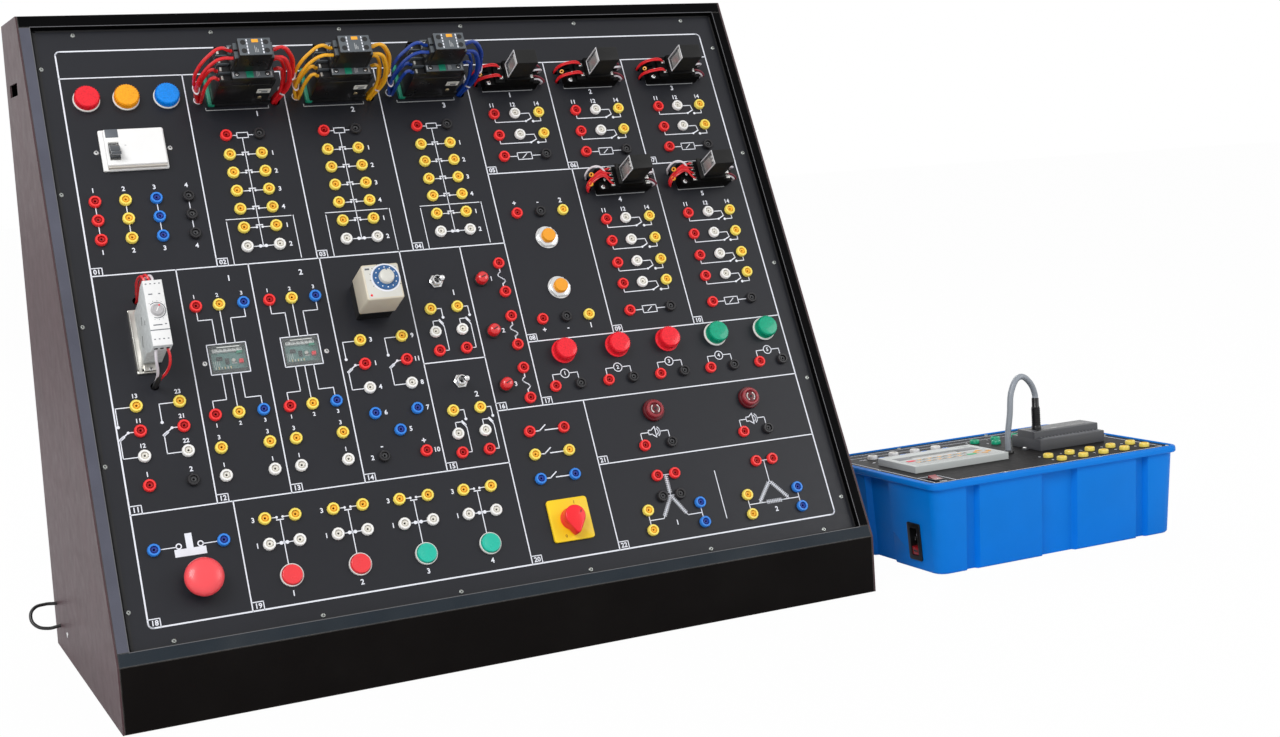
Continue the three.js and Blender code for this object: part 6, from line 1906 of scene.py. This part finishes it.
def rim():
    """A rolled rim: its outer bead, a fine step and an inner bead, bridged loop by loop."""
    profile = [
        (4.2, 106.6), (1.2, 107.2), (0.3, 107.9), (0, 108.8), (0, 112), (0.4, 113.8), (1.3, 115), (2.5, 115.4),
        (3.1, 115.1), (3.3, 114.9), (3.6, 115.3), (4.2, 115.9), (4.9, 116), (5.6, 115.6), (5.9, 114.6), (5.9, 109), (8, 107.2),
    ]
    shape = bmesh.new()
    loops = [rounded_loop(shape, inset, z) for inset, z in profile]
    for near, far in zip(loops, loops[1:] + loops[:1]):
        bmesh.ops.bridge_loops(shape, edges=near + far)
    return shape


def groove(width, x, y, turn):
    """A leaning cutter for one groove in the tub's wall, which faces +Y before the turn."""
    inner, outer = width / 2 - BAND_SLANT, width / 2 + BAND_SLANT
    outline = [(-inner, -BAND_DEPTH), (inner, -BAND_DEPTH), (outer, BAND_DEPTH), (-outer, BAND_DEPTH)]
    shape = prism(outline, 118)
    bmesh.ops.translate(shape, vec=(0, 0, -7), verts=shape.verts)
    lean = Matrix.Shear("XY", 4, (0, TUB_TAPER / 116))
    shape.transform(turned_z(turn) @ Matrix.Translation((x, y, 0)) @ lean)
    return shape


def tub():
    body = slab(UNIT_WIDTH - 8, UNIT_DEPTH - 8, 108.2, corner=TUB_CORNER)
    round_over(body, flat_at(body, 0), 3.5, 3)
    for vert in body.verts:
        share = (1 - vert.co.z / 116) * TUB_TAPER * 2
        vert.co.x *= 1 - share / UNIT_WIDTH
        vert.co.y *= 1 - share / UNIT_DEPTH
    grooves = Work(UNIT)
    far, side = UNIT_DEPTH / 2 - 4 - TUB_TAPER, UNIT_WIDTH / 2 - 4 - TUB_TAPER
    for turn in (0, 180):
        for share in (-0.35, 0.35):
            grooves.add(groove(NARROW_BAND, share * (UNIT_WIDTH - 8), far, turn), case_blue)
        grooves.add(groove(WIDE_BAND, 0, far, turn), case_blue)
        grooves.add(groove(WIDE_BAND, 0, side, turn + 90), case_blue)
    well = slab(41.6, 21.6, 34)
    bmesh.ops.translate(well, vec=(0, 0, -20), verts=well.verts)
    grooves.add(well, case_blue, turn=INLET_PLACE)
    body = cut(body, grooves.mesh)
    lips = [e for e in body.edges if e.is_manifold and e.calc_length() > 60 and abs(
        e.verts[0].co.z - e.verts[1].co.z) > 60 and e.calc_face_angle() > 0.5]
    round_over(body, lips, 1.8, 3)
    work = Work(UNIT)
    work.add(body, case_blue)
    work.add(rim(), case_blue)
    work.done("tub_moulding", replaces=["plc_case"], crease=50)


# The unit's printed top
UNIT_SOCKETS = {
    "w": [unit_spot(x, 0.808) for x in (0.138, 0.224, 0.311, 0.398)],
    "b": [unit_spot(x, 0.711) for x in (0.138, 0.224, 0.311, 0.398)],
    "g": [
        *[unit_spot(x, 0.811) for x in (0.566, 0.655, 0.743, 0.831, 0.92)],
        *[unit_spot(x, 0.717) for x in (0.61, 0.702, 0.79, 0.877)],
    ],
    "y": [unit_spot(x, y) for y in (0.222, 0.12) for x in (0.567, 0.656, 0.741, 0.83, 0.9155)],
}
UNIT_SCREWS = [
    (0.025, 0.981), (0.312, 0.985), (0.699, 0.985), (0.984, 0.982), (0.987, 0.512),
    (0.987, 0.03), (0.694, 0.028), (0.298, 0.028), (0.018, 0.03), (0.019, 0.514),
]


def unit_top():
    openings = Work(UNIT)
    openings.add(slab(13, 19.4, 12), panel_black, *ROCKER_SPOT)
    openings.add(disc(6.4, 12, sides=24), panel_black, *GROMMET_SPOT)
    sheet = slab(PANEL_WIDTH, PANEL_DEPTH, PANEL_THICKNESS, 0.3, 10)
    bmesh.ops.translate(sheet, vec=(0, 0, 4), verts=sheet.verts)
    work = Work(UNIT_FACE @ Matrix.Translation((0, 0, -PANEL_THICKNESS - 4)))
    work.add(cut(sheet, openings.mesh), unit_black)
    work.done("unit_top_sheet", replaces=["plc_top_panel"])
    screws = Work(UNIT_FACE)
    for n, (x, y) in enumerate(UNIT_SCREWS):
        screw(screws, (x - 0.5) * PANEL_WIDTH, (y - 0.5) * PANEL_DEPTH, 0, 2.5, look=dark_screw, turn=n * 31)
    screws.done("unit_screws")


def unit_print():
    ink = Work(UNIT_FACE)
    left, right, low, high = -178.5, 178.5, -118.5, 118.5
    header = unit_spot(0, 0.87)[1]
    frame_line(left, low, right, high, width=1.1, work=ink)
    stroke((left, header), (right, header), width=0.9, work=ink)
    stroke((left, -76), (-149, -76), (-149, low), width=1.1, work=ink)
    for shade, sign, value in (("w", "+", "24"), ("b", "-", "0")):
        row = UNIT_SOCKETS[shade]
        for (x0, y), (x1, _) in zip(row, row[1:]):
            stroke((x0 + SOCKET, y), (x1 - SOCKET, y), width=1.1, work=ink)
        number(sign + value, row[0][0] - 15, y, 4.6, work=ink)
        number(sign + value, row[-1][0] + 15, y, 4.6, work=ink)
    for shade in "gy":
        for n, (x, y) in enumerate(UNIT_SOCKETS[shade]):
            number(str(n), x - 7, y + 9, 4, work=ink)
    number("ON", ROCKER_SPOT[0] + 2, low + 6, 4.4, work=ink)
    ink.done("unit_print")


def operator_display():
    x, y = OPERATOR_SPOT
    place = UNIT_FACE @ Matrix.Translation((x, y, SEAT_GAP))
    case = Work(place)
    window = slab(76, 15, 6)
    bmesh.ops.translate(window, vec=(-5.1, 12.2, 7.5), verts=window.verts)
    body = slab(145, 87, 9, 1.6, 1.2, rounds=3)
    case.add(cut(body, window), operator_grey)
    case.add(slab(126, 34.5, 0.16, 0.05, 1), membrane, -1.5, -18.4, 8.95)
    for from_x, to_x in ((-64.5, -43.4), (33.2, 61.5)):
        case.add(slab(to_x - from_x, 17.6, 0.25, 0.08), band_grey, (from_x + to_x) / 2, 13.4, 8.95)
    case.add(slab(76.6, 1.9, 0.25, 0.08), band_grey, -5.1, 21.25, 8.95)
    case.add(slab(11.6, 6.8, 0.7, 0.2, 0.5), key_red, -55.8, -8.9, 9)
    case.add(slab(12.2, 6.4, 0.7, 0.2, 0.5), key_green, 29.5, -21.8, 9)
    rows = ((-9.6, (-39.7, -24.1, -8.4, 7.1, 22.8)), (-24.4, (-50.3, -34.5, -18.7, -2.9, 12.9)))
    for key_y, places in rows:
        for key_x in places:
            case.add(slab(14, 7.5, 0.7, 0.2, 0.5), operator_grey, key_x, key_y, 9)
            case.add(prism([(-6.4, 3.2), (2.4, 3.2), (-4.4, -2)], 0.14), key_orange, key_x, key_y, 9.66)
            case.add(prism([(6.2, 3.3), (-5.4, -3.3), (6.2, -3.3)], 0.14), key_shade, key_x, key_y, 9.66)
            case.add(disc(0.9, 0.1, sides=8), key_orange, key_x + 3.4, key_y - 1.2, 9.76)
    for turn, arrow_x, arrow_y in ((0, 50, -5.2), (-90, 61.6, -15.6), (180, 51, -24.4), (90, 40.7, -13.9)):
        case.add(prism([(-5.6, -3.1), (5.6, -3.1), (0, 3.9)], 0.5), key_orange, arrow_x, arrow_y, 9, turned_z(turn))
    for row in (38.3, 33.1, 28.7):
        case.add(disc(0.9, 0.15, sides=10), band_grey, 47.8, row, 8.97)
        stroke((54, row), (61, row), width=0.6, ink=band_grey, work=Moved(case, z=8.97))
    outline = Moved(case, z=8.97)
    stroke((-66.5, 3.5), (-66.5, -38.5), (65.5, -38.5), (65.5, 3.5), width=0.35, ink=band_grey, work=outline)
    case.done("operator_case", replaces=["operator_panel"])
    glass = Work(place)
    glass.add(slab(75.8, 14.8, 0.6), display_glass, -5.1, 12.2, 7.6)
    glass.done("operator_glass", replaces=["operator_panel"])


def controller_module():
    x, y = MODULE_SPOT
    work = Work(UNIT_FACE @ Matrix.Translation((x, y, SEAT_GAP)))
    work.add(slab(107, 62, 15, 1.4, 1.2), module_grey)
    work.add(slab(106.6, 37, 24, 1.4, 1.2), module_grey)
    tip = [(x + 26, y) for x, y in arc(0, 0, 14, -90, 90, 12)]
    work.add(prism([(-46, -14), *tip, (-46, 14)], 0.3), module_label, 2, 0, 23.9)
    for side in (-1, 1):
        work.add(slab(94, 8.4, 1.2, 0.4, 0.8), band_grey, 0, side * 24.9, 14.6)
        for n in range(16):
            work.add(disc(1.6, 0.3, sides=10), module_label, -43.5 + n * 5.8, side * 24.6, 15.7)
            work.add(slab(2, 0.8, 0.2), print_dim, -43.5 + n * 5.8, side * 20.2, 15.6 - (side > 0) * 0.6)
        for n in range(8):
            work.add(slab(0.9, 2.1, 0.2), print_dim, 6 + n * 3.3, side * 5.6 + 1, 24.1)
    for n in range(4):
        work.add(slab(3.4, 0.7, 0.2), print_dim, -3, 8.4 - n * 3.9, 24.1)
        work.add(disc(0.8, 0.25, sides=8), lens_looks["green"] if n == 0 else band_grey, 1.4, 8.4 - n * 3.9, 24.1)
    work.add(slab(14, 0.8, 0.2), print_dim, -22, 9, 24.1)
    work.add(slab(9, 3.4, 0.2), print_dim, -14, -9.6, 24.1)
    work.add(slab(15, 14, 0.5, 0.2, 1), moulded_black, -36.4, -1.2, 23.9)
    work.done("module_case", replaces=["plc_module"])
    fixings = Work(UNIT_FACE)
    for screw_x, screw_y, lug in ((x - 59.5, y - 6, 6), (x + 55, y + 4, 5)):
        fixings.add(slab(lug, 8, 2.4, 0.5, 1), module_grey, screw_x, screw_y, 0.02)
        screw(fixings, screw_x, screw_y, 2.3, 3)
    fixings.done("module_screws")
    plug = Work(UNIT_FACE @ Matrix.Translation((*PLUG_SPOT, SEAT_GAP * 2 + 24)))
    ribs = [point for n in range(9) for point in ((5.9, 5.4 + n * 2.6), (5.9, 7 + n * 2.6), (5.4, 7.3 + n * 2.6), (5.4, 7.8 + n * 2.6))]
    foot = [(0, 0), (6.5, 0), (6.5, 3.6), (6, 4.4)]
    plug.add(spun([*foot, *ribs, (5.6, 29.4), (4.8, 30.4), (4.7, 41.2), (4.3, 42), (0, 42)], 24), moulded_black)
    plug.done("programming_plug", replaces=["lead_plug"])


def programming_cable():
    (start_x, start_y), (end_x, end_y) = GROMMET_SPOT, PLUG_SPOT
    shares = [(0, 0, 0.214), (0.083, 0, 0.5), (0.25, 0.33, 0.88), (0.5, 0.5, 1), (0.78, 0.67, 0.926)]
    arch = [
        (start_x + across_by * (end_x - start_x), start_y + back * (end_y - start_y), up * 98)
        for across_by, back, up in shares
    ]
    cable = Work(UNIT_FACE)
    ends = [(end_x, end_y, 70.6), (end_x, end_y, 66.9)]
    cable.add(lead([(start_x, start_y, -3), *arch, *ends], 4, 4), lead_grey)
    cable.done("programming_cable", replaces=["programming_lead"], crease=60)
    grommet = Work(UNIT_FACE)
    grommet.add(spun([(4.2, -2.8), (6.3, -2.8), (6.3, 0), (7, 0.1), (7, 1.6), (5.6, 3.7), (4.6, 4), (4.2, 3.6)], 28), moulded_black, *GROMMET_SPOT)
    grommet.done("cable_grommet", replaces=["plc_top_panel"])


def unit_rocker():
    x, y = ROCKER_SPOT
    bezel = Work(UNIT_FACE)
    opening = slab(11.8, 18.6, 12)
    bmesh.ops.translate(opening, vec=(0, 0, -3), verts=opening.verts)
    bezel.add(cut(slab(15, 21, 5, 0.7, 1), opening), moulded_black, x, y, -3)
    bezel.add(slab(15, 21, 0.5), black_and_painted_hole_shade, x, y, -8.4)
    bezel.done("rocker_bezel", replaces=["plc_top_panel"])
    rocker = Work(UNIT_FACE @ Matrix.Translation((x, y, 0)) @ turned_x(10))
    top = [(8.2, 3.4), (6, 3), (3, 2.7), (0, 2.6), (-3, 2.7), (-6, 3), (-8.2, 3.4)]
    side = prism([(5.8, -3.5), (8.3, 1.3), *top, (-8.3, 1.3), (-5.8, -3.5), (0, -7)], 11)
    side.transform(SIDEWAYS)
    rocker.add(side, rocker_red, -5.5)
    rocker.add(disc(0.9, 0.25, sides=10), print_white, 0, -4.6, 2.75)
    rocker.done("rocker_cap", body="rocker_switch", replaces=["rocker_switch"])


def mains_inlet():
    work = Work(UNIT @ INLET_PLACE)
    frame_shape = slab(47, 27, 2, 0.5, 2.4)
    bmesh.ops.translate(frame_shape, vec=(0, 0, 0.3), verts=frame_shape.verts)
    housing = slab(41, 21, 20)
    bmesh.ops.translate(housing, vec=(0, 0, -19.4), verts=housing.verts)
    for shape in (frame_shape, housing):
        recess = slab(35, 15, 22, corner=2)
        bmesh.ops.translate(recess, vec=(0, 0, -12), verts=recess.verts)
        work.add(cut(shape, recess), moulded_black)
    work.add(slab(10, 14.6, 13.2, 0.5, 0.8), rocker_red, 12, 0, -11.9)
    work.add(slab(2.2, 8, 0.4, 0.1), dark_marks_and_recess_shade, 12, 0, 1.2)
    for pin_x, pin_y in ((-8.6, 0), (-2.4, 4), (-2.4, -4)):
        work.add(slab(4, 1.6, 10, 0.4), plated_metal, pin_x, pin_y, -12)
    work.done("mains_inlet", replaces=["power_inlet"])


cad_finishes()
panel_print()
place_sockets("of_console", socket_places, FACE, ["front_panel"])
printed_panel()
contactors()
relays()
breaker()
time_relay()
flicker_timer()
lamps()
buzzers()
fuse_holders()
proximity_sensors()
overload_boards()
push_buttons()
emergency_stop()
selector_switch()
toggle_switches()
edge_lines()
small_fittings()
tub()
place_sockets("of_unit", UNIT_SOCKETS, UNIT_FACE, ["plc_top_panel"])
unit_top()
unit_print()
operator_display()
controller_module()
programming_cable()
unit_rocker()
mains_inlet()
